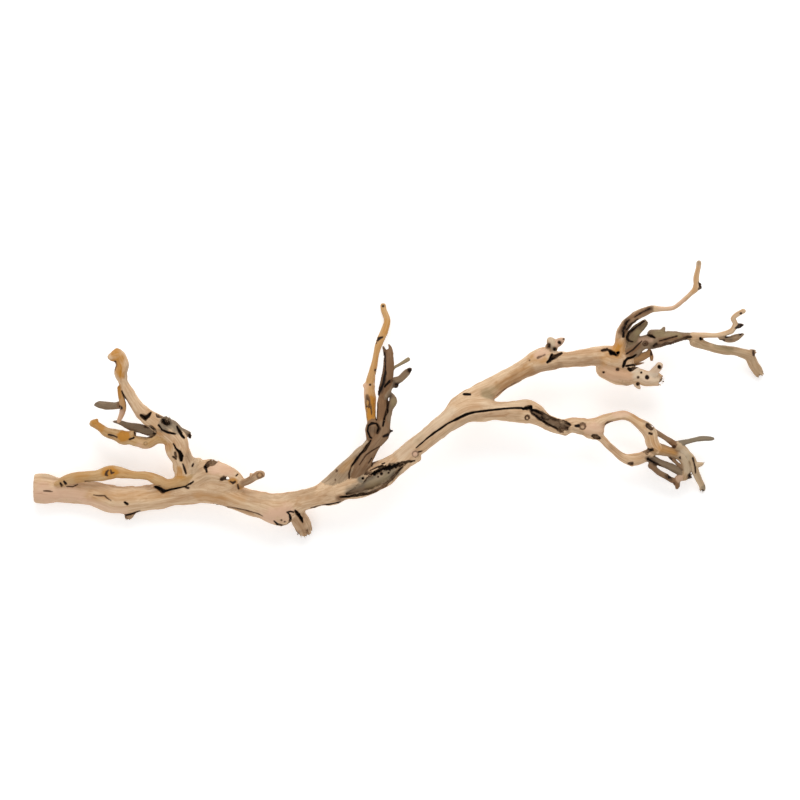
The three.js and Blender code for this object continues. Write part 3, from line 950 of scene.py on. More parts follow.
@dataclass(frozen=True)
class LeftLimb(Growth):
    """The limb that climbs to a curled tip, with its dead ridge and three twigs."""

    stem: Route = (
        (-256, -106, 31, 15), (-264, -92, 36, 15), (-269, -78, 41, 13.5), (-275, -64, 46, 14.5),
        (-277, -52, 50, 14.5), (-288, -41, 52, 13.5), (-302, -31, 55, 11.5), (-315, -22, 58, 10),
        (-325, -12, 62, 8.5), (-332, 0, 66, 7.5), (-338, 10, 70, 7.5), (-342, 20, 74, 6.5),
        (-345, 30, 78, 8.5), (-342, 40, 82, 8), (-346, 50, 86, 8), (-348, 54, 88, 6),
    )
    curl: Route = ((-350, 51, 88, 6.5), (-354, 50, 89, 5.5))
    strip: Route = (
        (-346, 12, 72, 3), (-344, 0, 70, 3.5), (-342, -10, 66, 4), (-344, -20, 60, 3.5), (-348, -29, 55,
            2.5),
    )
    ridge: Route = (
        (-298, -34, 57, 6), (-284, -34, 55, 7), (-272, -42, 52, 5.5), (-262, -45, 49, 3.5),
        (-260, -49, 47, 2.5),
    )
    crest: Route = ((-291, -33, 58, 8), (-289, -29, 63, 5.5), (-287, -26, 66, 3.5))
    thorn: Route = ((-258, -86, 43, 9), (-251, -80, 45, 6), (-249, -77, 46, 3))
    yellow: Route = (
        (-290, -48, 50, 10), (-302, -51, 50, 7), (-313, -57, 47, 7), (-325, -55, 44, 6.5),
        (-335, -52, 42, 6.5), (-344, -49, 41, 8), (-354, -46, 38, 7), (-364, -43, 34, 5.5),
        (-373, -37, 31, 4.5), (-382, -32, 29, 4.5),
    )
    yellow_knot: Route = ((-336, -48, 43, 7), (-331, -45, 44, 4))
    yellow_tip: Route = ((-379, -31, 30, 3.5), (-377, -28, 30, 2))
    grey_stub: Route = (
        (-345, -9, 58, 5), (-353, -10, 51, 4.5), (-364, -10, 43, 5), (-373, -9, 37, 4.5), (-378, -9, 34,
            2.5),
    )
    back_twig: Route = (
        (-301, -41, 46, 7), (-313, -41, 42, 6.5), (-325, -38, 38, 5.5), (-338, -35, 34, 4.5),
        (-348, -31, 31, 3.5), (-356, -30, 28, 1.5),
    )

    def limbs(self) -> dict[str, tuple[Limb, ...]]:
        """The limbs of each of its pieces, by the piece's name."""
        return {
            "left_limb": (
                Limb(self.stem, 8.0, lobes=0.08), Limb(self.curl, 4.0),
                Limb(self.strip, 2.0, tones=((Tone.AMBER, 0.6), (Tone.BROWN, 0.2))),
                Limb(self.ridge, 2.5, lobes=0.12, tones=DEAD),
                Limb(self.crest, 3.0, end=End.SNAPPED, tones=DEAD), Limb(self.thorn, 6.0),
            ),
            "yellow_twig": (
                Limb(self.yellow, 4.0, lobes=0.1, tones=AMBER_ALL), Limb(self.yellow_knot, 2.0,
                    tones=AMBER_ALL),
                Limb(self.yellow_tip, 2.0, tones=AMBER_ALL),
            ),
            "left_grey_stub": (Limb(self.grey_stub, 2.5, lobes=0.1, end=End.SNAPPED, tones=DEAD),),
            "left_back_twig": (Limb(self.back_twig, 1.5, lobes=0.14, tones=DEAD),),
        }

    def marks(self) -> tuple[Mark, ...]:
        """The hollow tip, the long split, the pockets and eyes along the stem."""
        return (
            Mark(((-350, 44, 1.0), (-350, 40, 1.8), (-352, 35, 1.8)), depth=5.0),
            Mark(((-343, 8, 0.6), (-341, 3, 0.9), (-338, -3, 1.3), (-336, -9, 2.3), (-334, -17, 2.3),
                  (-331, -23, 1.6), (-328, -28, 1.0)), depth=7.0),
            Mark(((-346, -11, 1.2), (-344, -13, 1.6)), depth=1.5, stain=0.85),
            Mark(((-320, -22, 2.0), (-315, -25, 3.6), (-311, -23, 2.2), (-308, -19, 1.2)), depth=6.5,
                lip=0.6),
            Mark(((-322, -31, 0.8), (-316, -36, 1.4), (-308, -36, 1.4), (-303, -40, 1.8), (-303, -44,
                1.6),
                  (-308, -48, 1.4), (-315, -47, 1.2), (-325, -44, 0.8)), depth=6.0),
            Mark(((-292, -29, 3.0), (-289, -31, 4.2)), depth=8.0, ragged=0.4),
            *splits(((-276, -36, 1.0), (-273, -42, 1.5), (-270, -47, 1.5), (-267, -50, 1.0)),
                    ((-298, -34, 0.9), (-294, -40, 1.1), (-287, -43, 1.1), (-278, -45, 0.7)), depth=4.0),
            Mark(((-280, -57, 0.6), (-277, -63, 1.0), (-273, -67, 1.8), (-271, -72, 3.9), (-271, -78,
                2.0)),
                 depth=8.0, lip=0.8),
            # The first of these is painted shade, in a shallow groove, down the left side of the eye
            # above.
            *splits(((-278, -68, 1.6), (-277, -73, 2.2)), ((-281, -73, 0.7), (-277, -76, 0.9)),
                    depth=3.0, stain=0.6),
            *splits(((-269, -82, 0.5), (-267, -88, 1.1), (-265, -94, 0.7)), ((-257, -85, 1.2), (-256,
                -82, 0.6)),
                    ((-362, -46, 0.8), (-356, -47, 1.1), (-351, -49, 0.8)), ((-335, -52, 1.2), (-330,
                        -50, 0.9)),
                    ((-329, -43, 0.7), (-328, -46, 0.8)), depth=2.0, stain=0.9),
            Mark(((-260, -47, 2.1), (-259, -50, 1.4)), depth=1.6),
            ringed(-315, -57, 2.2, 0.7, depth=0.9, stain=0.6),
            Mark(((-300, 62, 1.5), (-290, 58, 2.0)), depth=3.0, side=Side.FAR),
        )

    def washes(self) -> tuple[Wash, ...]:
        """Amber tips and knobs, dead grey wood and the rose end of the side strip."""
        return (
            Wash(Tone.AMBER, ((-350, 54, 92, 9), (-346, 44, 90, 8), (-344, 30, 86, 6)), 1.0, 0.6),
            Wash(Tone.AMBER, ((-347, 20, 78, 4), (-346, 2, 74, 4)), 0.6),
            Wash(Tone.GREY, ((-336, 38, 82, 6), (-336, 22, 76, 5)), 0.35),
            Wash(Tone.AMBER, ((-346, -48, 47, 7), (-342, -45, 48, 7)), 1.2, 0.5),
            Wash(Tone.AMBER, ((-378, -31, 33, 7), (-370, -37, 35, 6)), 0.7),
            Wash(Tone.AMBER, ((-274, -95, 50, 7), (-273, -91, 50, 5)), 0.8),
            Wash(Tone.AMBER, ((-288, -62, 56, 6), (-283, -58, 60, 5)), 0.5),
            Wash(Tone.AMBER, ((-304, -35, 64, 6), (-296, -44, 62, 6)), 0.35),
            Wash(Tone.GREY, ((-350, -31, 33, 7), (-312, -41, 46, 9)), 0.8),
            Wash(Tone.GREY, ((-292, -32, 64, 8), (-276, -41, 58, 7)), 1.0, 0.4),
            Wash(Tone.CHAR, ((-292, -28, 66, 4), (-287, -32, 64, 5)), 0.8),
            Wash(Tone.CHAR, ((-261, -46, 50, 3.5), (-259, -50, 48, 3.5)), 0.8),
            Wash(Tone.BROWN, ((-347, -9, 62, 5), (-345, -15, 62, 5)), 0.8),
            Wash(Tone.ROSE, ((-346, -17, 62, 5), (-347, -27, 57, 5)), 0.8),
            Wash(Tone.BROWN, ((-358, -47, 40, 5), (-350, -50, 42, 4)), 0.7),
            Wash(Tone.ROSE, ((-320, -60, 46, 7), (-308, -60, 48, 6)), 0.6),
            Wash(Tone.GREY, ((-262, -72, 52, 6), (-254, -86, 50, 9)), 0.35),
        )


@dataclass(frozen=True)
class Burl(Growth):
    """The knot at the left limb's foot, with its mouth, its through hole and its spur."""

    back: Route = (
        (-248, -100, 36, 15), (-234, -93, 42, 14.5), (-220, -95, 44, 13), (-208, -98, 45, 10.5),
        (-200, -103, 45, 7), (-198, -109, 44, 4.5),
    )
    belly: Route = ((-232, -108, 40, 11), (-216, -110, 42, 9), (-205, -106, 45, 6))
    spur: Route = (
        (-199, -107, 46, 4.5), (-189, -104, 52, 4.5), (-181, -99, 60, 4.5), (-175, -96, 68, 5.5),
        (-172, -95, 71, 5),
    )
    thorn: Route = ((-182, -98, 60, 4), (-184, -95, 62, 2))

    def limbs(self) -> dict[str, tuple[Limb, ...]]:
        """The limbs of each of its pieces, by the piece's name."""
        return {
            "burl": (
                Limb(self.back, 7.0, lobes=0.1), Limb(self.belly, 7.0),
                Limb(self.spur, 2.0, tones=((Tone.BROWN, 0.35),)), Limb(self.thorn, 1.5),
            ),
        }

    def marks(self) -> tuple[Mark, ...]:
        """The mouth, the hole right through and the creases of the nodules."""
        return (
            Mark(((-241, -86, 2.2), (-238, -83, 3.4), (-233, -81, 3.4), (-228, -79, 1.8)), depth=10.0,
                lip=0.9),
            Mark(((-240, -88, 1.0), (-239, -92, 0.8)), depth=3.0),
            Mark(((-214, -100, 2.5),), depth=99.0, side=Side.THROUGH, stain=0.7),
            Mark(((-221, -101, 2.8), (-218, -100, 2.8)), depth=2.6, stain=0.75),
            *splits(((-210, -104, 0.8), (-207, -106, 1.0), (-204, -104, 0.9)), ((-203, -97, 0.8), (-201,
                -95, 0.7)),
                    ((-201, -108, 0.7), (-200, -113, 0.8)), depth=1.4, stain=0.75),
            ringed(-173, -96, 3.5, 0.8, depth=1.0, stain=0.75),
        )

    def washes(self) -> tuple[Wash, ...]:
        """Rose over its back, amber over its nodules, brown along its spur."""
        return (
            Wash(Tone.ROSE, ((-228, -88, 56, 10), (-212, -90, 56, 8)), 0.8),
            Wash(Tone.AMBER, ((-218, -89, 57, 5), (-209, -89, 56, 5)), 0.5),
            Wash(Tone.AMBER, ((-209, -103, 54, 4), (-205, -103, 54, 4)), 0.9),
            Wash(Tone.AMBER, ((-199, -109, 49, 5), (-198, -112, 48, 4)), 0.8),
            Wash(Tone.BROWN, ((-194, -106, 54, 5), (-180, -99, 64, 5)), 0.45),
            Wash(Tone.AMBER, ((-174, -96, 74, 3), (-172, -96, 75, 3)), 0.6),
            Wash(Tone.GREY, ((-250, -96, 50, 7), (-236, -98, 54, 5)), 0.25),
        )


@dataclass(frozen=True)
class MainLimb(Growth):
    """The limb that carries on from the trunk to the upper fork, with its lens-shaped hollow."""

    core: Route = (
        (-88, -118, 40, 14), (-68, -112, 43, 15.5), (-50, -107, 46, 17.5), (-34, -101, 49, 18),
        (-18, -92, 52, 16.5), (-4, -82, 54, 13), (10, -69, 56, 12), (26, -56, 58, 12),
        (46, -39, 60, 12), (66, -25, 60, 13.5), (84, -15, 59, 14), (104, -13, 58, 12),
    )
    flap: Route = ((-38, -88, 54, 8), (-29, -84, 56, 5), (-20, -80, 57, 2.5))
    heel: Route = ((-2, -84, 52, 10), (12, -78, 54, 7.5), (22, -76, 54, 4))

    def limbs(self) -> dict[str, tuple[Limb, ...]]:
        """The limbs of each of its pieces, by the piece's name."""
        return {
            "main_limb": (
                Limb(self.core, 9.0, lobes=0.05),
                Limb(self.flap, 2.0, lobes=0.15, end=End.SNAPPED, tones=((Tone.BROWN, 0.7),)),
                Limb(self.heel, 5.0),
            ),
        }

    def marks(self) -> tuple[Mark, ...]:
        """The lens and the rot in it, the knot's ring and the long crack."""
        return (
            Mark(((-66, -119, 1.5), (-52, -113, 4.5), (-36, -106, 7.5), (-21, -99, 8.5), (-9, -91, 7.0),
                  (1, -84, 3.5), (8, -80, 1.0)), depth=5.0, stain=0.1, fade=0.4, ragged=0.06),
            Mark(((-36, -95, 1.2), (-28, -91, 2.4), (-21, -87, 3.4), (-12, -86, 4.3), (-4, -84, 3.7),
                  (4, -80, 1.8), (12, -79, 1.4), (18, -78, 0.6)), depth=11.0, ragged=0.7),
            Mark(((-74, -123, 0.6), (-61, -122, 1.0), (-50, -120, 1.6), (-38, -118, 1.8), (-27, -114,
                1.8),
                  (-16, -106, 1.8), (-8, -98, 1.5), (-2, -91, 1.0), (3, -86, 0.6)), depth=8.0),
            *pits((-46, -100, 1.8), (-32, -95, 1.7), (-23, -94, 1.5), (-14, -93, 1.0), (-27, -98, 0.8),
                  depth=9.0),
            *splits(((-37, -90, 0.6), (-28, -86, 0.8), (-21, -84, 0.7)), ((-35, -85, 0.8), (-34, -81,
                0.7),
                    (-30, -78, 0.9)), ((-22, -82, 0.8), (-19, -81, 0.7)), depth=1.8, stain=0.8),
            ringed(19, -70, 3.8, 0.7, depth=1.0, stain=0.7),
            Mark(((23, -67, 0.8), (27, -66, 0.5)), depth=1.2, stain=0.8),
            Mark(((20, -62, 0.4), (27, -56, 0.8), (35, -49, 0.9), (43, -43, 0.9), (49, -39, 1.0), (59,
                -32, 1.1),
                  (71, -26, 1.2), (81, -21, 1.2), (92, -18, 1.1), (108, -16, 1.0), (126, -14, 0.9),
                  (141, -13, 0.8), (150, -13, 0.9)), depth=5.0, ragged=0.1),
            Mark(((-60, 38, 0.6), (-20, 46, 1.6), (30, 54, 0.8)), depth=2.5, stain=0.7, side=Side.NEAR),
        )

    def washes(self) -> tuple[Wash, ...]:
        """Grey-brown rotten floor of the lens and the rosy knot, with painted light along the far side
        and painted shade along the near side.
        """
        return (
            Wash(Tone.GREY, ((-66, -116, 56, 6), (-48, -112, 60, 10)), 1.0, 0.5),
            Wash(Tone.GREY, ((-38, -106, 62, 11), (-10, -93, 64, 10)), 1.0, 0.35),
            Wash(Tone.BROWN, ((-60, -119, 56, 7), (-24, -108, 60, 8)), 0.5),
            Wash(Tone.OLIVE, ((-38, -109, 62, 6), (-18, -100, 62, 6)), 0.4),
            Wash(Tone.CHAR, ((-28, -91, 64, 4), (0, -83, 64, 4)), 0.6),
            Wash(Tone.BROWN, ((-92, -122, 48, 6), (-70, -121, 52, 7)), 0.8),
            Wash(Tone.ROSE, ((18, -70, 66, 5), (20, -70, 66, 5)), 1.0),
            Wash(Tone.BROWN, ((18, -70, 66, 4), (20, -70, 66, 4)), 0.45),
            # Painted light: paler along the limb's far side.
            Wash(Tone.PALE, ((0, -66, 68, 10), (60, -18, 72, 9)), 0.5),
            # Painted shade: browner along the limb's near side.
            Wash(Tone.BROWN, ((36, -54, 64, 5), (90, -25, 66, 6)), 0.3),
            Wash(Tone.OLIVE, ((20, -54, 68, 5), (26, -48, 68, 5)), 0.3),
        )


@dataclass(frozen=True)
class MiddleLimb(Growth):
    """The rind and core that part from the main limb, and the four twigs they end in."""

    rind: Route = (
        (-84, -110, 42, 13), (-72, -95, 50, 11), (-58, -79, 56, 8), (-47, -66, 60, 6.5), (-38, -54, 62,
            4.5),
    )
    core: Route = (
        (-58, -100, 48, 10), (-50, -86, 56, 10.5), (-40, -71, 62, 9.5), (-31, -58, 66, 8.5),
        (-22, -46, 67, 8.5), (-21, -34, 67, 8),
    )
    knot: Route = ((-36, -48, 64, 6), (-35, -39, 65, 8), (-34, -33, 65, 7))
    thorn: Route = ((-19, -46, 66, 5), (-13, -42, 67, 2.5), (-9, -41, 68, 1))
    amber: Route = (
        (-34, -34, 64, 6), (-36, -20, 61, 6), (-37, -5, 57, 7.5), (-38, 10, 52, 7), (-36, 25, 46, 5),
        (-32, 40, 38, 4), (-29, 56, 30, 3.5), (-25, 70, 24, 4.5), (-19, 83, 17, 4.5), (-16, 97, 10, 4),
        (-20, 109, 5, 3.5), (-21, 115, 3, 3.5),
    )
    amber_thorn: Route = ((-37, 15, 50, 5), (-43, 15, 50, 3), (-45, 15, 50, 1.5))
    brown: Route = (
        (-22, -38, 66, 6.5), (-22, -20, 68, 6.5), (-21, -4, 71, 6.5), (-18, 12, 76, 5.5),
        (-14, 28, 82, 5.5), (-13, 44, 87, 5.5), (-13, 56, 90, 4),
    )
    fin: Route = (
        (-26, 4, 72, 2), (-22, 16, 77, 3), (-18, 32, 81, 3.5), (-17, 48, 86, 3), (-19, 58, 90, 2),
        (-21, 63, 92, 1),
    )
    tine: Route = ((-11, 54, 89, 3), (-12, 61, 91, 2), (-14, 65, 92, 1))
    wisp: Route = ((-12, 28, 82, 3), (-8, 36, 82, 2), (0, 41, 83, 2), (10, 47, 85, 2.5))
    side: Route = ((-17, -44, 64, 5), (-15, -28, 66, 4), (-13, -14, 68, 4.5), (-9, -5, 71, 5.5), (-10,
        3, 75, 2.5))
    hooked: Route = (
        (-18, 4, 73, 6), (-14, 14, 72, 6), (-7, 20, 72, 5.5), (0, 23, 74, 4.5), (7, 30, 77, 4.5),
        (12, 34, 80, 3.5),
    )
    hooked_thorn: Route = ((-5, 18, 72, 4.5), (-5, 14, 71, 2.5))

    def limbs(self) -> dict[str, tuple[Limb, ...]]:
        """The limbs of each of its pieces, by the piece's name."""
        return {
            "middle_limb": (
                Limb(self.rind, 6.0), Limb(self.core, 2.5, lobes=0.1, tones=((Tone.BROWN, 0.7),
                    (Tone.GREY, 0.3))),
                Limb(self.knot, 2.0, lobes=0.12, tones=((Tone.BROWN, 0.75), (Tone.GREY, 0.2))),
                Limb(self.thorn, 1.5, tones=BLACK),
            ),
            "amber_twig": (
                Limb(self.amber, 2.0, lobes=0.08, tones=((Tone.AMBER, 0.4),)),
                Limb(self.amber_thorn, 3.0, tones=((Tone.ROSE, 0.5),)),
            ),
            "brown_twig": (
                Limb(self.brown, 2.0, lobes=0.12, tones=BROWNED),
                Limb(self.fin, 1.2, lobes=0.15, end=End.SNAPPED, tones=((Tone.BROWN, 0.9), (Tone.CHAR,
                    0.35))),
                Limb(self.tine, 1.0, tones=BROWNED), Limb(self.wisp, 1.2, tones=((Tone.GREY, 0.4),
                    (Tone.OLIVE, 0.5))),
            ),
            "side_twig": (Limb(self.side, 1.2, lobes=0.14, tones=((Tone.GREY, 0.7), (Tone.BROWN,
                0.4))),),
            "hooked_twig": (
                Limb(self.hooked, 2.0, lobes=0.1, tones=((Tone.GREY, 0.5), (Tone.BROWN, 0.3))),
                Limb(self.hooked_thorn, 1.2, tones=BLACK),
            ),
        }

    def marks(self) -> tuple[Mark, ...]:
        """The groove between rind and core, the knot's rings and the splits between the twigs."""
        return (
            *pits((-78, -91, 1.6), (-80, -102, 1.2), depth=1.0, stain=0.5),
            Mark(((-60, -85, 0.7), (-55, -78, 1.2), (-49, -70, 1.6), (-43, -64, 1.8), (-39, -58, 1.4),
                  (-36, -53, 0.7)), depth=6.0),
            *splits(((-63, -100, 0.7), (-63, -94, 0.6), (-60, -85, 0.6)), ((-50, -83, 0.5), (-42, -71,
                0.7),
                    (-35, -66, 0.6), (-25, -60, 0.4)), ((-39, -81, 0.7), (-35, -75, 0.5)),
                    depth=1.6, stain=0.65),
            *splits(((-39, -35, 1.0), (-35, -32, 1.2), (-29, -32, 1.4), (-26, -38, 2.0), (-28, -44,
                1.4)),
                    ((-39, -35, 0.9), (-40, -41, 0.9), (-37, -49, 1.3), (-35, -50, 0.8)), depth=2.6),
            *pits((-30, 34, 1.6), (-30, 20, 1.5), (-37, 16, 1.2), (-30, 68, 1.3), (-21, 114, 1.4), (-41,
                -11, 0.9),
                  depth=0.9, stain=0.85),
            Mark(((-28, 71, 1.4), (-25, 74, 2.0), (-22, 75, 1.0)), depth=1.2, stain=0.9),
            *splits(((-28, -8, 0.9), (-29, -19, 1.1), (-29, -28, 0.8)),
                    ((-15, -4, 1.7), (-16, -16, 1.6), (-19, -25, 1.2), (-21, -35, 0.8)), depth=4.0),
            Mark(((-20, -48, 1.4), (-15, -46, 1.8)), depth=1.6),
            Mark(((-27, 3, 1.6), (-24, 9, 1.8), (-21, 16, 1.6), (-18, 30, 1.2), (-18, 43, 1.1), (-19,
                55, 1.0)),
                 depth=1.2, ragged=0.4),
            Mark(((-19, 13, 1.2), (-13, 20, 1.5), (-10, 21, 1.0)), depth=3.0),
            *splits(((-5, 16, 2.2), (0, 16, 1.0)), ((11, 34, 2.0), (13, 33, 2.4)), depth=0.7),
            Mark(((-80, 44, 0.6), (-55, 56, 1.2), (-35, 66, 0.5)), depth=1.8, stain=0.6, side=Side.FAR),
        )

    def washes(self) -> tuple[Wash, ...]:
        """Amber at the middle of the amber twig, char on the dead tips."""
        return (
            Wash(Tone.AMBER, ((-35, -3, 64, 6), (-35, -24, 67, 5)), 1.1, 0.6),
            Wash(Tone.ROSE, ((-42, 12, 54, 6), (-42, -2, 60, 6)), 0.7),
            Wash(Tone.AMBER, ((-16, 95, 14, 4), (-18, 82, 21, 4)), 0.3),
            Wash(Tone.AMBER, ((-70, -88, 60, 7), (-58, -78, 63, 6)), 0.35),
            Wash(Tone.AMBER, ((-23, -26, 74, 4), (-22, -4, 77, 4)), 0.5),
            Wash(Tone.CHAR, ((-24, 8, 79, 4), (-19, 22, 83, 3)), 0.6),
            Wash(Tone.CHAR, ((-37, -38, 72, 4), (-29, -40, 72, 4)), 0.45),
            Wash(Tone.CHAR, ((-16, -46, 70, 4), (-10, -41, 70, 4)), 0.8),
            Wash(Tone.CHAR, ((-5, 16, 76, 4), (0, 17, 76, 3)), 0.8),
            Wash(Tone.CHAR, ((12, 34, 83, 4), (14, 33, 82, 4)), 0.9),
            Wash(Tone.OLIVE, ((-7, -4, 76, 5), (-8, -9, 75, 4)), 0.7),
            Wash(Tone.CHAR, ((-12, 3, 77, 4), (-14, -5, 74, 3)), 0.8),
        )


@dataclass(frozen=True)
class UpperLimb(Growth):
    """The smooth upper limb with its boss and knob."""

    core: Route = (
        (70, -14, 55, 11), (84, -4, 51, 12), (98, 4, 48, 12), (112, 10, 48, 12.5), (128, 21, 49, 11),
        (146, 31, 51, 10.5), (164, 41, 53, 12), (180, 45, 54, 12.5), (200, 46, 54, 10), (225, 49, 53,
            10),
        (246, 51, 52, 12), (262, 49, 50, 15), (276, 46, 48, 15),
    )
    shoulder: Route = ((70, -8, 50, 8), (77, -2, 50, 6.5), (82, 4, 50, 4))
    boss: Route = ((168, 47, 55, 10), (176, 53, 56, 8.5), (181, 57, 57, 4.5))
    knob: Route = ((188, 54, 55, 4.5), (190, 60, 58, 4.5), (188, 66, 61, 6), (186, 70, 63, 4.5))
    ear: Route = ((190, 65, 61, 4.5), (197, 69, 63, 4.5), (202, 72, 65, 2))
    lobe: Route = ((190, 63, 60, 5), (183, 63, 61, 4))

    def limbs(self) -> dict[str, tuple[Limb, ...]]:
        """The limbs of each of its pieces, by the piece's name."""
        return {
            "upper_limb": (
                Limb(self.core, 8.0, lobes=0.04), Limb(self.shoulder, 6.0), Limb(self.boss, 6.0),
                Limb(self.knob, 2.0, lobes=0.12, tones=((Tone.GREY, 0.25), (Tone.PALE, 0.3))),
                Limb(self.ear, 1.5, lobes=0.12, tones=((Tone.GREY, 0.3), (Tone.ROSE, 0.5))),
                Limb(self.lobe, 1.5, lobes=0.12),
            ),
        }

    def marks(self) -> tuple[Mark, ...]:
        """The notch beside the knob, the knob's pits and the two eyes near its end."""
        return (
            Mark(((182, 44, 1.5), (187, 48, 3.2), (193, 51, 2.3), (200, 55, 0.8)), depth=9.0, lip=0.8),
            Mark(((183, 45, 1.0), (188, 53, 1.4)), depth=5.0),
            *pits((183, 64, 3.6), (191, 60, 2.4), (197, 68, 2.2), (202, 72, 1.0), depth=3.2),
            Mark(((170, 49, 1.1), (175, 51, 1.5), (179, 53, 1.0)), depth=1.1, stain=0.45),
            Mark(((160, 46, 1.0),), depth=0.8, stain=0.5),
            Mark(((79, 4, 1.2), (83, 4, 1.4), (87, 4, 1.1)), depth=2.4),
            Mark(((250, 58, 1.2), (256, 59, 1.8)), depth=3.0, stain=0.75),
            Mark(((259, 58, 1.6), (262, 55, 2.8), (267, 53, 2.8), (270, 56, 1.6)), depth=8.0, lip=0.6),
            Mark(((120, 46, 0.4), (165, 50, 1.0), (215, 50, 0.4)), depth=1.5, stain=0.45,
                side=Side.NEAR),
            Mark(((140, 50, 1.8),), depth=3.0, side=Side.FAR),
        )

    def washes(self) -> tuple[Wash, ...]:
        """Browner along its near side as painted shade, olive at its heel, rose on the boss."""
        return (
            # Painted shade: browner along the near side.
            Wash(Tone.BROWN, ((122, 12, 56, 8), (165, 34, 60, 7), (195, 39, 60, 6)), 0.45),
            Wash(Tone.AMBER, ((122, 14, 58, 7), (160, 36, 62, 6)), 0.45),
            # Painted shade: browner along the near side.
            Wash(Tone.BROWN, ((198, 44, 60, 6), (245, 46, 60, 6)), 0.35),
            Wash(Tone.OLIVE, ((106, 4, 58, 8), (116, 10, 58, 7)), 0.7),
            Wash(Tone.GREY, ((104, -3, 56, 6), (112, -2, 56, 6)), 0.5),
            Wash(Tone.ROSE, ((172, 54, 65, 7), (180, 56, 64, 5)), 0.8),
            Wash(Tone.AMBER, ((164, 48, 65, 7), (178, 47, 66, 6)), 0.5),
            Wash(Tone.CHAR, ((183, 64, 66, 4), (191, 60, 64, 4)), 0.6),
            Wash(Tone.CHAR, ((197, 66, 67, 3), (198, 69, 67, 3)), 0.7),
            Wash(Tone.BROWN, ((68, -6, 58, 6), (78, -2, 58, 5)), 0.3),
            Wash(Tone.AMBER, ((255, 48, 64, 9), (272, 58, 63, 9)), 0.4),
        )


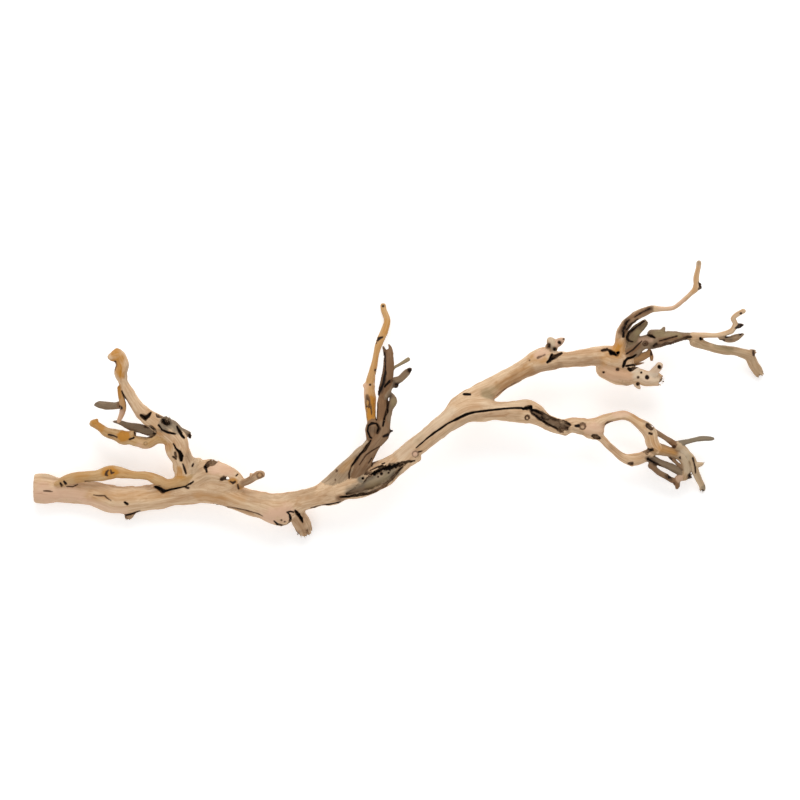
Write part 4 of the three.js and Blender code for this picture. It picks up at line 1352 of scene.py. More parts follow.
@dataclass(frozen=True)
class TwigCluster(Growth):
    """What the upper limb ends in: crook, charred stub, blade, strips, knobby spur and two twigs."""

    crook: Route = (
        (270, 54, 52, 10), (273, 68, 57, 7), (275, 82, 63, 6.5), (281, 92, 69, 6.5), (289, 99, 76, 6),
        (300, 105, 83, 5.5), (310, 109, 88, 4.5), (321, 109, 92, 3), (335, 110, 96, 3), (345, 117, 99,
            3),
        (356, 127, 102, 3), (363, 135, 104, 4), (363, 148, 108, 3.5), (365, 158, 111, 3), (366, 165,
            113, 3),
    )
    crook_knot: Route = ((363, 135, 104, 4), (368, 135, 105, 2.5), (368, 140, 106, 1.5))
    charred: Route = ((286, 66, 52, 7), (287, 75, 55, 7.5), (293, 84, 60, 6.5), (302, 92, 65, 5), (304,
        94, 66, 3.5))
    blade: Route = (
        (282, 58, 51, 11), (298, 67, 52, 9), (314, 71, 52, 10.5), (330, 73, 50, 9), (346, 75, 46, 6),
        (360, 76, 43, 5), (370, 73, 41, 6),
    )
    blade_shoulder: Route = ((312, 78, 54, 6), (320, 79, 53, 5))
    blade_lip: Route = ((324, 80, 52, 4), (327, 86, 52, 2))
    strip: Route = ((276, 44, 48, 7), (288, 46, 50, 5), (300, 51, 50, 4.5), (309, 55, 49, 3.5))
    drip: Route = ((309, 57, 49, 3.5), (312, 51, 47, 2.5), (312, 47, 46, 2))
    sliver: Route = ((284, 42, 46, 3.5), (295, 42, 45, 2), (302, 43, 44, 1))
    spur: Route = (
        (256, 36, 46, 12), (268, 31, 46, 13), (282, 28, 45, 11), (296, 27, 44, 9), (308, 24, 43, 9),
        (318, 23, 42, 8.5), (324, 21, 41, 6),
    )
    chin: Route = ((276, 24, 44, 7), (281, 18, 43, 3.5))
    brow: Route = ((288, 33, 48, 6), (294, 35, 49, 3.5))
    spur_drip: Route = ((294, 22, 42, 4), (294, 16, 41, 3.5), (297, 12, 40, 2))
    horn: Route = ((312, 28, 46, 5.5), (316, 33, 52, 5), (320, 38, 58, 4.5), (321, 40, 60, 4))
    end: Route = (
        (366, 70, 42, 7), (378, 65, 40, 6), (394, 60, 35, 5.5), (411, 58, 30, 5.5), (427, 55, 24, 5.5),
        (436, 51, 18, 6.5), (441, 41, 11, 6.5), (447, 33, 6, 6.5), (450, 30, 5, 6),
    )
    end_thorn: Route = ((438, 56, 19, 4.5), (442, 57, 18, 3))
    thin: Route = (
        (364, 76, 44, 5.5), (378, 77, 45, 3.5), (392, 77, 46, 3), (404, 80, 48, 3.5), (412, 84, 52, 3.5),
        (415, 92, 56, 3), (412, 98, 60, 3), (417, 103, 63, 3), (424, 107, 66, 3),
    )
    thin_thorn: Route = ((415, 88, 54, 3), (421, 89, 55, 3), (424, 90, 55, 1.5))
    rag: Route = ((398, 74, 46, 3.5), (408, 72, 45, 4), (418, 75, 44, 3.5), (426, 79, 44, 1.5))

    def limbs(self) -> dict[str, tuple[Limb, ...]]:
        """The limbs of each of its pieces, by the piece's name."""
        strips: Tones = ((Tone.BROWN, 0.4), (Tone.AMBER, 0.45))
        dead: Tones = ((Tone.GREY, 0.5), (Tone.BROWN, 0.3))
        return {
            "crook_twig": (Limb(self.crook, 3.0, lobes=0.07), Limb(self.crook_knot, 1.5,
                tones=((Tone.CHAR, 0.7),))),
            "charred_stub": (
                Limb(self.charred, 1.0, lobes=0.15, end=End.SNAPPED,
                     tones=((Tone.BROWN, 0.6), (Tone.CHAR, 0.45), (Tone.OLIVE, 0.3))),
            ),
            "blade_limb": (
                Limb(self.blade, 3.0, lobes=0.12, flat=0.1, tones=dead), Limb(self.blade_shoulder, 2.0,
                    tones=dead),
                Limb(self.blade_lip, 1.5, tones=dead),
            ),
            "split_strips": (
                Limb(self.strip, 1.5, lobes=0.15, tones=strips), Limb(self.drip, 1.2, tones=strips),
                Limb(self.sliver, 1.0, end=End.SNAPPED, tones=strips),
            ),
            "knobby_spur": (
                Limb(self.spur, 5.0, lobes=0.12, end=End.SNAPPED), Limb(self.chin, 3.0,
                    tones=((Tone.GREY, 0.35),)),
                Limb(self.brow, 2.5, tones=PALE_SPUR), Limb(self.spur_drip, 1.5, tones=PALE_SPUR),
                Limb(self.horn, 2.5, tones=PALE_SPUR),
            ),
            "end_twig": (
                Limb(self.end, 3.0, lobes=0.05, end=End.SNAPPED, tones=((Tone.BROWN, 0.22), (Tone.OLIVE,
                    0.2))),
                Limb(self.end_thorn, 1.5, end=End.SNAPPED, tones=((Tone.BROWN, 0.3),)),
            ),
            "thin_twig": (
                Limb(self.thin, 1.5, lobes=0.08), Limb(self.thin_thorn, 1.0, tones=BLACK),
                Limb(self.rag, 0.8, lobes=0.2, flat=0.2, end=End.SNAPPED, tones=dead),
            ),
        }

    def marks(self) -> tuple[Mark, ...]:
        """The weathered splits, rings and holes of the cluster."""
        return (
            Mark(((276, 76, 1.6), (276, 83, 2.0), (279, 92, 1.8), (283, 96, 0.9)), depth=3.0, stain=0.9,
                ragged=0.5),
            *splits(((289, 99, 0.7), (298, 105, 1.0), (307, 109, 1.0)), ((280, 84, 0.8), (285, 91, 1.0),
                (293, 97, 0.6)),
                    depth=1.5, stain=0.85, ragged=0.4),
            Mark(((368, 137, 1.4), (367, 141, 1.0)), depth=1.2),
            Mark(((288, 69, 1.0), (283, 70, 1.2), (281, 74, 1.3), (283, 80, 1.3), (289, 85, 1.2), (296,
                90, 1.1),
                  (302, 95, 0.9)), depth=1.6, ragged=0.4),
            ringed(303, 67, 2.8, 0.8, depth=1.5, stain=0.9),
            Mark(((303, 67, 1.0),), depth=2.0, stain=0.7),
            Mark(((306, 78, 0.9), (311, 76, 1.8), (315, 74, 0.9)), depth=4.0),
            Mark(((317, 60, 1.6), (321, 62, 2.0), (328, 66, 1.8), (335, 67, 1.6), (343, 70, 2.0), (350,
                72, 1.8),
                  (357, 75, 1.3), (361, 75, 0.6)), depth=6.0, ragged=0.3),
            *splits(((321, 70, 0.8), (332, 73, 0.7), (343, 76, 0.5)), ((314, 64, 1.4), (317, 66, 2.0)),
                    ((280, 54, 0.7), (288, 59, 0.9), (296, 67, 0.7), (299, 70, 0.5)), ((311, 57, 0.6),
                        (311, 53, 0.8)),
                    depth=2.0, stain=0.8),
            *splits(((276, 38, 1.2), (278, 45, 1.8), (281, 48, 1.6), (287, 50, 1.4), (292, 53, 0.7)),
                    ((280, 39, 1.0), (285, 40, 1.0), (292, 41, 0.7)),
                    ((283, 36, 1.4), (285, 34, 1.7), (289, 36, 1.4), (294, 38, 0.8)), depth=5.0),
            *pits((252, 31, 1.7), (306, 25, 2.3), (299, 31, 1.4), (295, 17, 1.8), (321, 38, 2.2),
                depth=3.0),
            Mark(((325, 24, 1.8), (323, 18, 2.0)), depth=3.0),
            *pits((269, 35, 2.3), (295, 25, 1.5), (373, 73, 1.8), depth=2.0, stain=0.65),
            *pits((415, 82, 1.4), (422, 89, 2.2), (421, 104, 1.3), (422, 79, 1.3), depth=0.8),
            Mark(((404, 75, 1.2), (409, 77, 1.4)), depth=1.2),
            Mark(((440, 58, 1.4), (440, 53, 1.2)), depth=0.7, stain=0.7),
            Mark(((383, 71, 1.0), (392, 71, 1.1), (402, 71, 0.6)), depth=3.0),
        )

    def washes(self) -> tuple[Wash, ...]:
        """Char and brown on the dead wood, amber at the fork, pale rose on the spur."""
        return (
            Wash(Tone.BROWN, ((275, 80, 68, 8), (285, 97, 78, 8), (305, 107, 90, 7)), 1.0, 0.4),
            Wash(Tone.CHAR, ((276, 79, 70, 5), (280, 94, 76, 5)), 0.65),
            Wash(Tone.CHAR, ((300, 106, 88, 3), (310, 111, 92, 3)), 0.6),
            Wash(Tone.AMBER, ((271, 60, 60, 9), (273, 68, 63, 7)), 0.6),
            Wash(Tone.AMBER, ((361, 131, 106, 4), (365, 155, 113, 5)), 0.35),
            Wash(Tone.ROSE, ((320, 110, 95, 5), (346, 118, 102, 5)), 0.6),
            Wash(Tone.GREY, ((366, 166, 115, 4), (367, 168, 115, 3)), 0.6),
            Wash(Tone.CHAR, ((369, 137, 107, 3), (367, 141, 107, 3)), 0.8),
            Wash(Tone.OLIVE, ((290, 75, 61, 5), (294, 81, 65, 4)), 0.6),
            Wash(Tone.ROSE, ((298, 71, 60, 5), (310, 71, 61, 4)), 0.5),
            Wash(Tone.OLIVE, ((318, 80, 60, 6), (345, 79, 54, 5)), 0.7),
            Wash(Tone.BROWN, ((322, 70, 60, 5), (356, 77, 50, 4)), 0.6),
            Wash(Tone.CHAR, ((312, 62, 58, 4), (320, 64, 58, 3)), 0.8),
            Wash(Tone.CHAR, ((277, 40, 56, 4), (284, 46, 54, 4)), 0.6),
            Wash(Tone.BROWN, ((282, 53, 61, 5), (297, 64, 61, 5)), 0.7),
            Wash(Tone.AMBER, ((256, 34, 58, 8), (284, 27, 56, 5)), 0.35),
            Wash(Tone.ROSE, ((258, 30, 58, 9), (282, 26, 56, 7)), 0.5),
            Wash(Tone.PALE, ((296, 29, 54, 8), (318, 24, 52, 8)), 0.8),
            Wash(Tone.ROSE, ((308, 24, 54, 6), (318, 30, 54, 6)), 0.5),
            Wash(Tone.GREY, ((277, 20, 48, 5), (282, 18, 46, 5)), 0.7),
            Wash(Tone.CHAR, ((325, 22, 48, 4), (326, 19, 46, 4)), 0.9),
            Wash(Tone.BROWN, ((370, 70, 49, 5), (382, 67, 46, 4)), 0.4),
            Wash(Tone.OLIVE, ((392, 64, 41, 4), (412, 60, 36, 4)), 0.5),
            Wash(Tone.CHAR, ((402, 74, 50, 3), (410, 73, 49, 3)), 0.5),
            Wash(Tone.CHAR, ((421, 78, 48, 3), (427, 79, 46, 3)), 0.5),
            Wash(Tone.GREY, ((440, 58, 22, 4), (441, 53, 21, 3)), 0.6),
        )


@dataclass(frozen=True)
class LowerLimb(Growth):
    """The lower limb with its trough, and the two arms round the ring-shaped gap."""

    core: Route = (
        (98, -17, 57, 12), (120, -17, 58, 11.5), (142, -17, 58, 13), (158, -17, 58, 14), (170, -22, 56,
            12),
        (184, -30, 54, 9.5), (200, -36, 51, 9.5), (215, -35, 48, 9.5), (230, -37, 45, 10.5), (243, -39,
            42, 10),
    )
    heel: Route = ((200, -38, 50, 8), (205, -42, 49, 5))
    upper_arm: Route = (
        (240, -34, 43, 8.5), (254, -27, 45, 6.5), (268, -23, 46, 5.5), (279, -22, 46, 6), (291, -28, 45,
            6),
        (303, -36, 43, 7.5), (310, -45, 41, 8), (313, -56, 39, 8), (318, -64, 37, 7),
    )
    lower_arm: Route = (
        (238, -43, 42, 8), (250, -50, 40, 5), (262, -62, 38, 4.5), (275, -73, 36, 5), (288, -77, 35, 7),
        (300, -75, 35, 7), (309, -70, 35, 6.5),
    )
    thorn: Route = ((286, -80, 36, 4.5), (288, -84, 36, 2))

    def limbs(self) -> dict[str, tuple[Limb, ...]]:
        """The limbs of each of its pieces, by the piece's name."""
        return {
            "lower_limb": (Limb(self.core, 9.0, lobes=0.05), Limb(self.heel, 3.0)),
            "ring_upper_arm": (Limb(self.upper_arm, 5.0, lobes=0.08),),
            "ring_lower_arm": (Limb(self.lower_arm, 5.0, lobes=0.08), Limb(self.thorn, 2.0)),
        }

    def marks(self) -> tuple[Mark, ...]:
        """The trough and its rims, the knots and the holes of the ring."""
        return (
            Mark(((152, -14, 1.3), (157, -13, 2.2), (161, -12, 2.8), (163, -16, 2.4)), depth=8.0,
                ragged=0.4),
            ringed(157, -25, 2.5, 1.1, depth=2.4, lip=0.4),
            Mark(((164, -17, 2.5), (174, -23, 3.8), (184, -29, 4.0), (194, -34, 4.2), (204, -36, 4.0),
                  (211, -34, 1.5)), depth=5.0, stain=0.3, ragged=0.12),
            *splits(((165, -15, 1.4), (174, -19, 1.6), (184, -24, 1.4), (194, -28, 1.3), (203, -30, 1.3),
                     (210, -33, 0.9)),
                    ((163, -19, 1.2), (173, -27, 1.6), (183, -33, 1.6), (191, -37, 1.6), (199, -42,
                        1.4)),
                    depth=8.0, ragged=0.4),
            *splits(((177, -25, 3.2), (183, -27, 1.8)), ((201, -38, 4.6), (207, -38, 2.3)), depth=10.0,
                ragged=0.6),
            ringed(226, -36, 3.6, 1.0, depth=1.8, stain=0.85),
            Mark(((217, -35, 0.8), (221, -35, 1.8)), depth=2.4),
            Mark(((239, -47, 1.8), (243, -49, 3.4), (247, -50, 1.6)), depth=6.0, ragged=0.4),
            Mark(((255, -33, 0.8), (258, -31, 1.4), (263, -30, 0.7)), depth=4.0),
            Mark(((307, -35, 2.2), (311, -38, 2.8)), depth=7.0, lip=0.5),
            Mark(((309, -44, 1.3), (312, -45, 1.2)), depth=2.0, stain=0.75),
            Mark(((302, -66, 1.6), (307, -66, 3.2), (313, -65, 1.8)), depth=6.0, ragged=0.4),
            Mark(((284, -82, 1.8), (288, -82, 2.4)), depth=4.0, ragged=0.3),
            Mark(((120, 55, 0.5), (160, 52, 1.6), (190, 50, 0.6)), depth=2.4, stain=0.6, side=Side.NEAR),
        )

    def washes(self) -> tuple[Wash, ...]:
        """Grey wood in the trough, rosy pale arms, and the limb paler on its far side as painted light
        and browner on its near side as painted shade.
        """
        return (
            Wash(Tone.GREY, ((166, -18, 62, 5), (186, -30, 58, 6), (206, -36, 54, 5)), 1.0, 0.4),
            Wash(Tone.BROWN, ((166, -18, 62, 5), (206, -36, 54, 6)), 0.45),
            Wash(Tone.BROWN, ((226, -36, 55, 3), (227, -36, 55, 3)), 0.6),
            Wash(Tone.GREY, ((215, -38, 56, 4), (225, -44, 52, 4)), 0.3),
            # Painted light: paler along the limb's far side.
            Wash(Tone.PALE, ((105, -8, 68, 7), (150, -7, 70, 7)), 0.3),
            # Painted shade: browner along the limb's near side.
            Wash(Tone.BROWN, ((96, -22, 68, 5), (145, -20, 70, 5)), 0.25),
            Wash(Tone.ROSE, ((234, -38, 54, 8), (246, -38, 50, 7)), 0.7),
            Wash(Tone.ROSE, ((268, -20, 51, 5), (282, -20, 51, 5)), 0.6),
            Wash(Tone.AMBER, ((285, -25, 51, 5), (300, -34, 50, 5)), 0.3),
            Wash(Tone.GREY, ((306, -30, 49, 5), (314, -38, 48, 4)), 0.4),
            Wash(Tone.BROWN, ((262, -62, 42, 4), (300, -70, 42, 5)), 0.35),
            Wash(Tone.AMBER, ((312, -52, 48, 6), (318, -62, 45, 6)), 0.3),
        )


@dataclass(frozen=True)
class EndLattice(Growth):
    """The split strips beyond the ring and the two twigs that leave them."""

    spine: Route = (
        (316, -62, 37, 7), (330, -66, 33, 6.5), (343, -69, 30, 6.5), (353, -76, 27, 6.5), (357, -88, 24,
            6),
        (354, -98, 21, 5.5),
    )
    slat: Route = (
        (306, -73, 35, 5), (318, -79, 31, 4.5), (332, -84, 27, 4.5), (346, -91, 23, 4.5), (354, -97, 21,
            4),
    )
    strap: Route = ((316, -42, 41, 3.5), (328, -49, 38, 3), (340, -57, 34, 4), (347, -65, 31, 4))
    fibre: Route = ((336, -74, 31, 3), (345, -82, 28, 2), (354, -89, 26, 2))
    low: Route = ((312, -84, 32, 4), (322, -93, 28, 3.5), (334, -100, 24, 4), (345, -107, 20, 4), (345,
        -112, 19, 2.5))
    brace: Route = ((354, -97, 21, 5), (346, -101, 20, 4.5), (344, -107, 19, 3.5))
    thorn: Route = ((356, -97, 22, 4), (362, -98, 22, 3.5))
    tip: Route = (
        (346, -60, 32, 5.5), (355, -67, 29, 5), (363, -77, 26, 5), (368, -91, 20, 4.5), (373, -102, 12,
            4),
        (378, -111, 5, 4), (378, -116, 3, 3.5),
    )
    fan: Route = ((368, -84, 25, 4), (374, -83, 25, 3), (378, -81, 25, 1.5))
    grey: Route = ((348, -57, 33, 3.5), (360, -54, 34, 3), (374, -51, 35, 3), (384, -51, 36, 3), (390,
        -51, 37, 2))

    def limbs(self) -> dict[str, tuple[Limb, ...]]:
        """The limbs of each of its pieces, by the piece's name."""
        browned: Tones = ((Tone.BROWN, 0.7),)
        pale: Tones = ((Tone.OLIVE, 0.3), (Tone.PALE, 0.2))
        return {
            "end_lattice": (
                Limb(self.spine, 4.0, lobes=0.1, tones=((Tone.AMBER, 0.15),)),
                Limb(self.slat, 1.2, lobes=0.12, tones=DEAD), Limb(self.strap, 1.5, lobes=0.12,
                    tones=browned),
                Limb(self.fibre, 1.0, end=End.SNAPPED, tones=browned),
                Limb(self.low, 1.5, lobes=0.15, tones=((Tone.BROWN, 0.6), (Tone.GREY, 0.4))),
                Limb(self.brace, 2.0, tones=((Tone.ROSE, 0.4), (Tone.BROWN, 0.2))),
                Limb(self.thorn, 1.5, end=End.SNAPPED, tones=BLACK),
            ),
            "tip_twig": (
                Limb(self.tip, 3.0, lobes=0.1, end=End.SNAPPED, tones=pale),
                Limb(self.fan, 1.2, flat=0.3, end=End.SNAPPED, tones=pale),
            ),
            "right_grey_twig": (Limb(self.grey, 2.0, lobes=0.1, end=End.SNAPPED, tones=((Tone.GREY,
                0.85),)),),
        }

    def marks(self) -> tuple[Mark, ...]:
        """The slits along the strips and their dark knots."""
        return (
            Mark(((308, -76, 1.5), (315, -80, 1.0), (322, -85, 1.2), (329, -89, 1.0), (336, -92, 0.7)),
                depth=2.0),
            *pits((336, -77, 2.7), (335, -99, 3.1), (348, -74, 1.7), depth=1.6, ragged=0.6),
            *pits((341, -61, 1.8), (341, -107, 1.8), depth=1.0, stain=0.6),
            Mark(((364, -75, 0.8), (367, -86, 0.9), (368, -94, 0.7)), depth=1.6, stain=0.8),
            *pits((361, -97, 2.4), (378, -117, 2.2), (381, -108, 1.2), depth=0.8),
        )

    def washes(self) -> tuple[Wash, ...]:
        """Dark ends and the pale olive spine."""
        return (
            Wash(Tone.CHAR, ((308, -75, 40, 4), (318, -82, 35, 3)), 0.7),
            Wash(Tone.BROWN, ((338, -58, 38, 5), (345, -65, 36, 5)), 0.6),
            Wash(Tone.CHAR, ((332, -97, 29, 4), (337, -100, 28, 4)), 0.6),
            Wash(Tone.BROWN, ((341, -106, 25, 5), (345, -112, 22, 4)), 0.6),
            Wash(Tone.CHAR, ((361, -97, 26, 4), (364, -98, 25, 3)), 0.8),
            Wash(Tone.CHAR, ((378, -117, 6, 4), (381, -109, 8, 3)), 0.7),
            Wash(Tone.PALE, ((352, -72, 36, 7), (358, -90, 30, 6)), 0.6),
            Wash(Tone.OLIVE, ((356, -75, 34, 6), (359, -90, 30, 5)), 0.35),
            Wash(Tone.AMBER, ((325, -64, 42, 6), (340, -67, 37, 6)), 0.4),
        )


Rgb = tuple[float, float, float]


def linear(red: int, green: int, blue: int) -> tuple[float, float, float, float]:
    """A screen colour from 0 to 255 as a linear shader colour."""
    values = [c / 255 for c in (red, green, blue)]
    return (*[v / 12.92 if v <= 0.04045 else ((v + 0.055) / 1.055) ** 2.4 for v in values], 1.0)


class Sum:
    """A shader value that adds its Math nodes as it is reckoned with."""

    def __init__(self, shader: "Shader", socket: bpy.types.NodeSocket) -> None:
        """Wraps a socket."""
        self.shader = shader
        self.socket = socket

    def _with(self, operation: str, first: object, second: object = 0.0) -> "Sum":
        """One Math node on two values."""
        node = self.shader.add("ShaderNodeMath", {"operation": operation}, {0: first, 1: second})
        return Sum(self.shader, node.outputs[0])

    def __add__(self, other: object) -> "Sum":
        """The sum with another value."""
        return self._with("ADD", self, other)

    def __radd__(self, other: object) -> "Sum":
        """The sum with a number on the left."""
        return self._with("ADD", other, self)

    def __sub__(self, other: object) -> "Sum":
        """The difference from another value."""
        return self._with("SUBTRACT", self, other)

    def __rsub__(self, other: object) -> "Sum":
        """A number less this value."""
        return self._with("SUBTRACT", other, self)

    def __mul__(self, other: object) -> "Sum":
        """The product with another value."""
        return self._with("MULTIPLY", self, other)

    def __rmul__(self, other: object) -> "Sum":
        """The product with a number on the left."""
        return self._with("MULTIPLY", other, self)

    def kept(self) -> "Sum":
        """This value held between nought and one."""
        return self._with("MINIMUM", self._with("MAXIMUM", self, 0.0), 1.0)


class Shader:
    """A material's node tree, built one node at a time."""

    def __init__(self, name: str) -> None:
        """Starts an empty material."""
        self.material = bpy.data.materials.new(name)
        self.material.use_nodes = True
        self.tree = self.material.node_tree
        self.tree.nodes.clear()

    def add(self, kind: str, settings: dict[str, object], inputs: dict[object,
        object]) -> bpy.types.Node:
        """Adds a node.

        Args:
            kind: The node's type.
            settings: Its settings, set first.
            inputs: Values or links of its sockets, by name or place.

        Returns:
            The node.
        """
        node = self.tree.nodes.new(kind)
        for key, value in settings.items():
            setattr(node, key, value)
        for key, value in inputs.items():
            source = value.socket if isinstance(value, Sum) else value
            if isinstance(source, bpy.types.NodeSocket):
                self.tree.links.new(source, node.inputs[key])
            else:
                node.inputs[key].default_value = source
        return node

    def attribute(self, name: str, part: str = "Vector") -> bpy.types.NodeSocket:
        """A value kept at each point of the mesh."""
        return self.add("ShaderNodeAttribute", {"attribute_name": name}, {}).outputs[part]

    def channels(self, name: str) -> tuple[Sum, Sum, Sum]:
        """The three numbers of a vector kept at each point."""
        node = self.add("ShaderNodeSeparateXYZ", {}, {0: self.attribute(name)})
        return Sum(self, node.outputs[0]), Sum(self, node.outputs[1]), Sum(self, node.outputs[2])

    def scaled(self, vector: bpy.types.NodeSocket, scale: Rgb) -> bpy.types.NodeSocket:
        """A vector stretched along its axes."""
        return self.add("ShaderNodeVectorMath", {"operation": "MULTIPLY"}, {0: vector,
            1: scale}).outputs[0]

    def noise(self, vector: bpy.types.NodeSocket, scale: Rgb, detail: float = 3.0,
        twist: float = 0.0) -> Sum:
        """Smooth noise from 0 to 1 over a stretched vector.

        Args:
            vector: Where it is read.
            scale: Cells to a unit along each axis.
            detail: How many sizes of noise are added up.
            twist: How far it is pulled out of true.

        Returns:
            The noise.
        """
        inputs = {"Vector": self.scaled(vector, scale), "Scale": 1.0, "Detail": detail,
        "Distortion": twist}
        return Sum(self, self.add("ShaderNodeTexNoise", {}, inputs).outputs[0])

    def ramp(self, value: Sum, low: float, high: float) -> Sum:
        """Nought below low, one above high and a smooth rise between."""
        inputs = {"Value": value, "From Min": low, "From Max": high}
        node = self.add("ShaderNodeMapRange", {"interpolation_type": "SMOOTHSTEP"}, inputs)
        return Sum(self, node.outputs[0])

    def mix(self, share: object, one: object, two: object, blend: str = "MIX") -> bpy.types.NodeSocket:
        """A mix of two colours by a share."""
        node = self.add("ShaderNodeMix", {"data_type": "RGBA", "blend_type": blend}, {0: share, 6: one,
            7: two})
        return node.outputs[2]


@dataclass(frozen=True)
class WoodFinish:
    """Bare wood: pale, amber or weathered, by what it starts from.

    Args:
        name: The record's material slot, and the material's name.
        pale: Its lighter streaks.
        deep: Its darker streaks.
        dull: How rough it is.
        relief: How strongly its grain stands out.
    """

    name: str
    pale: tuple[int, int, int]
    deep: tuple[int, int, int]
    dull: float = 0.62
    relief: float = 0.3

    TINTS = (
        ("tint_a", ((186, 126, 44), (128, 114, 94), (128, 94, 64))),
        ("tint_b", ((46, 34, 25), (150, 132, 96), (220, 180, 152))),
    )
    PALE_TINT = (224, 206, 180)
    SCORCHED = (104, 70, 42)
    # Dark stains with painted shade in the marks: brown at their rims, near black deep inside.
    HOLLOW_DARK_AND_SHADE = (22, 14, 9)
    RIM = (92, 64, 42)
    GRAIN_FINE = (0.03, 0.55, 0.55)
    GRAIN_BROAD = (0.012, 0.16, 0.16)
    CHECKS = (0.016, 0.34, 0.34)
    PATCHES = (38.0, 38.0, 38.0)
    SPECKS = (420.0, 420.0, 420.0)
    SPECK_TINT = (110, 78, 50)
    # Painted shade: the brown that hollows and creases are multiplied by.
    CAVITY_SHADE_TINT = (96, 66, 44)
    FINE_SHARE = 0.45
    BROAD_SHARE = 0.55
    PATCH_SHARE = 0.35
    CRACK_SHARE = 0.35
    SPECK_SHARE = 0.3
    # Painted shade: how strongly hollows and creases are darkened.
    CAVITY_SHADE_SHARE = 0.85
    SCORCH_SHARE = 0.85
    PALE_SHARE = 0.8
    RIM_SHARE = 0.9
    RELIEF_DEPTH = 0.0008
    SHINE = 0.28

    def _both(self, shader: Shader, scale: Rgb, detail: float, twist: float) -> Sum:
        """Noise along the grain, mixed where two limbs flow together."""
        one = shader.noise(shader.attribute("grain_a"), scale, detail, twist)
        two = shader.noise(shader.attribute("grain_b"), scale, detail, twist)
        share = Sum(shader, shader.attribute("share", "Fac"))
        return two + (one - two) * share

    def material(self) -> bpy.types.Material:
        """The finished material."""
        shader = Shader(self.name)
        fine = self._both(shader, self.GRAIN_FINE, 4.0, 0.4)
        broad = self._both(shader, self.GRAIN_BROAD, 2.0, 0.6)
        checks = self._both(shader, self.CHECKS, 2.0, 0.2)
        place = shader.add("ShaderNodeTexCoord", {}, {}).outputs["Object"]
        patch = shader.noise(place, self.PATCHES)
        speck = shader.noise(place, self.SPECKS, 2.0)
        streak = shader.ramp(fine, 0.35, 0.68) * self.FINE_SHARE
        streak = (streak + shader.ramp(broad, 0.32, 0.7) * self.BROAD_SHARE).kept()
        colour = shader.mix(streak, linear(*self.pale), linear(*self.deep))
        colour = shader.mix(shader.ramp(patch, 0.45, 0.75) * self.PATCH_SHARE, colour,
            linear(*self.deep))
        # Grey, brown and rose here include painted light and shade laid along one side of some limbs.
        for name, tints in self.TINTS:
            for share, tint in zip(shader.channels(name), tints):
                strength = (share * (0.9 + streak * 0.5)).kept()
                colour = shader.mix(strength, colour, linear(*tint))
        scorch = Sum(shader, shader.attribute("scorch", "Fac"))
        colour = shader.mix((scorch * self.SCORCH_SHARE).kept(), colour, linear(*self.SCORCHED))
        pale, stain, cavity_shade = shader.channels("tint_c")
        # The pale tint includes painted light along the far side of some limbs.
        colour = shader.mix((pale * self.PALE_SHARE).kept(), colour, linear(*self.PALE_TINT))
        crack = shader.ramp(checks, 0.66, 0.74) * self.CRACK_SHARE
        colour = shader.mix(crack, colour, linear(*self.deep), "MULTIPLY")
        dots = shader.ramp(speck, 0.68, 0.8) * self.SPECK_SHARE
        colour = shader.mix(dots, colour, linear(*self.SPECK_TINT), "MULTIPLY")
        # Painted shade: concave places of the surface are darkened.
        hollow = (cavity_shade * self.CAVITY_SHADE_SHARE).kept()
        colour = shader.mix(hollow, colour, linear(*self.CAVITY_SHADE_TINT), "MULTIPLY")
        # The marks' dark stains with painted shade: brown near the rim, near black deep inside.
        colour = shader.mix(shader.ramp(stain, 0.0, 0.55) * self.RIM_SHARE, colour, linear(*self.RIM))
        colour = shader.mix(shader.ramp(stain, 0.35, 0.95), colour, linear(*self.HOLLOW_DARK_AND_SHADE))
        height = fine * 0.5 + broad * 0.3 - crack * 0.8 + speck * 0.12
        bump = shader.add(
            "ShaderNodeBump", {}, {"Strength": self.relief, "Distance": self.RELIEF_DEPTH,
            "Height": height}
        )
        shader_inputs = {
            "Base Color": colour,
            "Roughness": (self.dull + stain * 0.25 + fine * 0.12).kept(),
            "Normal": bump.outputs[0],
            "Specular IOR Level": self.SHINE,
        }
        surface = shader.add("ShaderNodeBsdfPrincipled", {}, shader_inputs)
        shader.add("ShaderNodeOutputMaterial", {}, {"Surface": surface.outputs[0]})
        return shader.material


FINISHES = (
    WoodFinish("bleached_wood", (226, 196, 160), (182, 140, 100)),
    WoodFinish("amber_wood", (210, 178, 134), (176, 138, 92), 0.55),
    WoodFinish("weathered_wood", (188, 162, 132), (136, 110, 82), 0.72, 0.5),
)
AMBER_PIECES = ("bow_twig", "yellow_twig", "amber_twig")
BLEACHED_PIECES = (
    "trunk", "left_limb", "burl", "lower_stub", "main_limb", "upper_limb", "knobby_spur", "lower_limb",
    "ring_upper_arm", "ring_lower_arm", "crook_twig", "end_twig", "thin_twig", "tip_twig",
)


@dataclass(frozen=True)
class Break:
    """A torn end that splinters stand out of.

    Args:
        spot: Its middle in millimetres.
        way: The direction its splinters point.
        width: How wide the tear is, in millimetres.
        length: How long its splinters are, in millimetres.
    """

    spot: tuple[float, float, float]
    way: tuple[float, float, float]
    width: float
    length: float


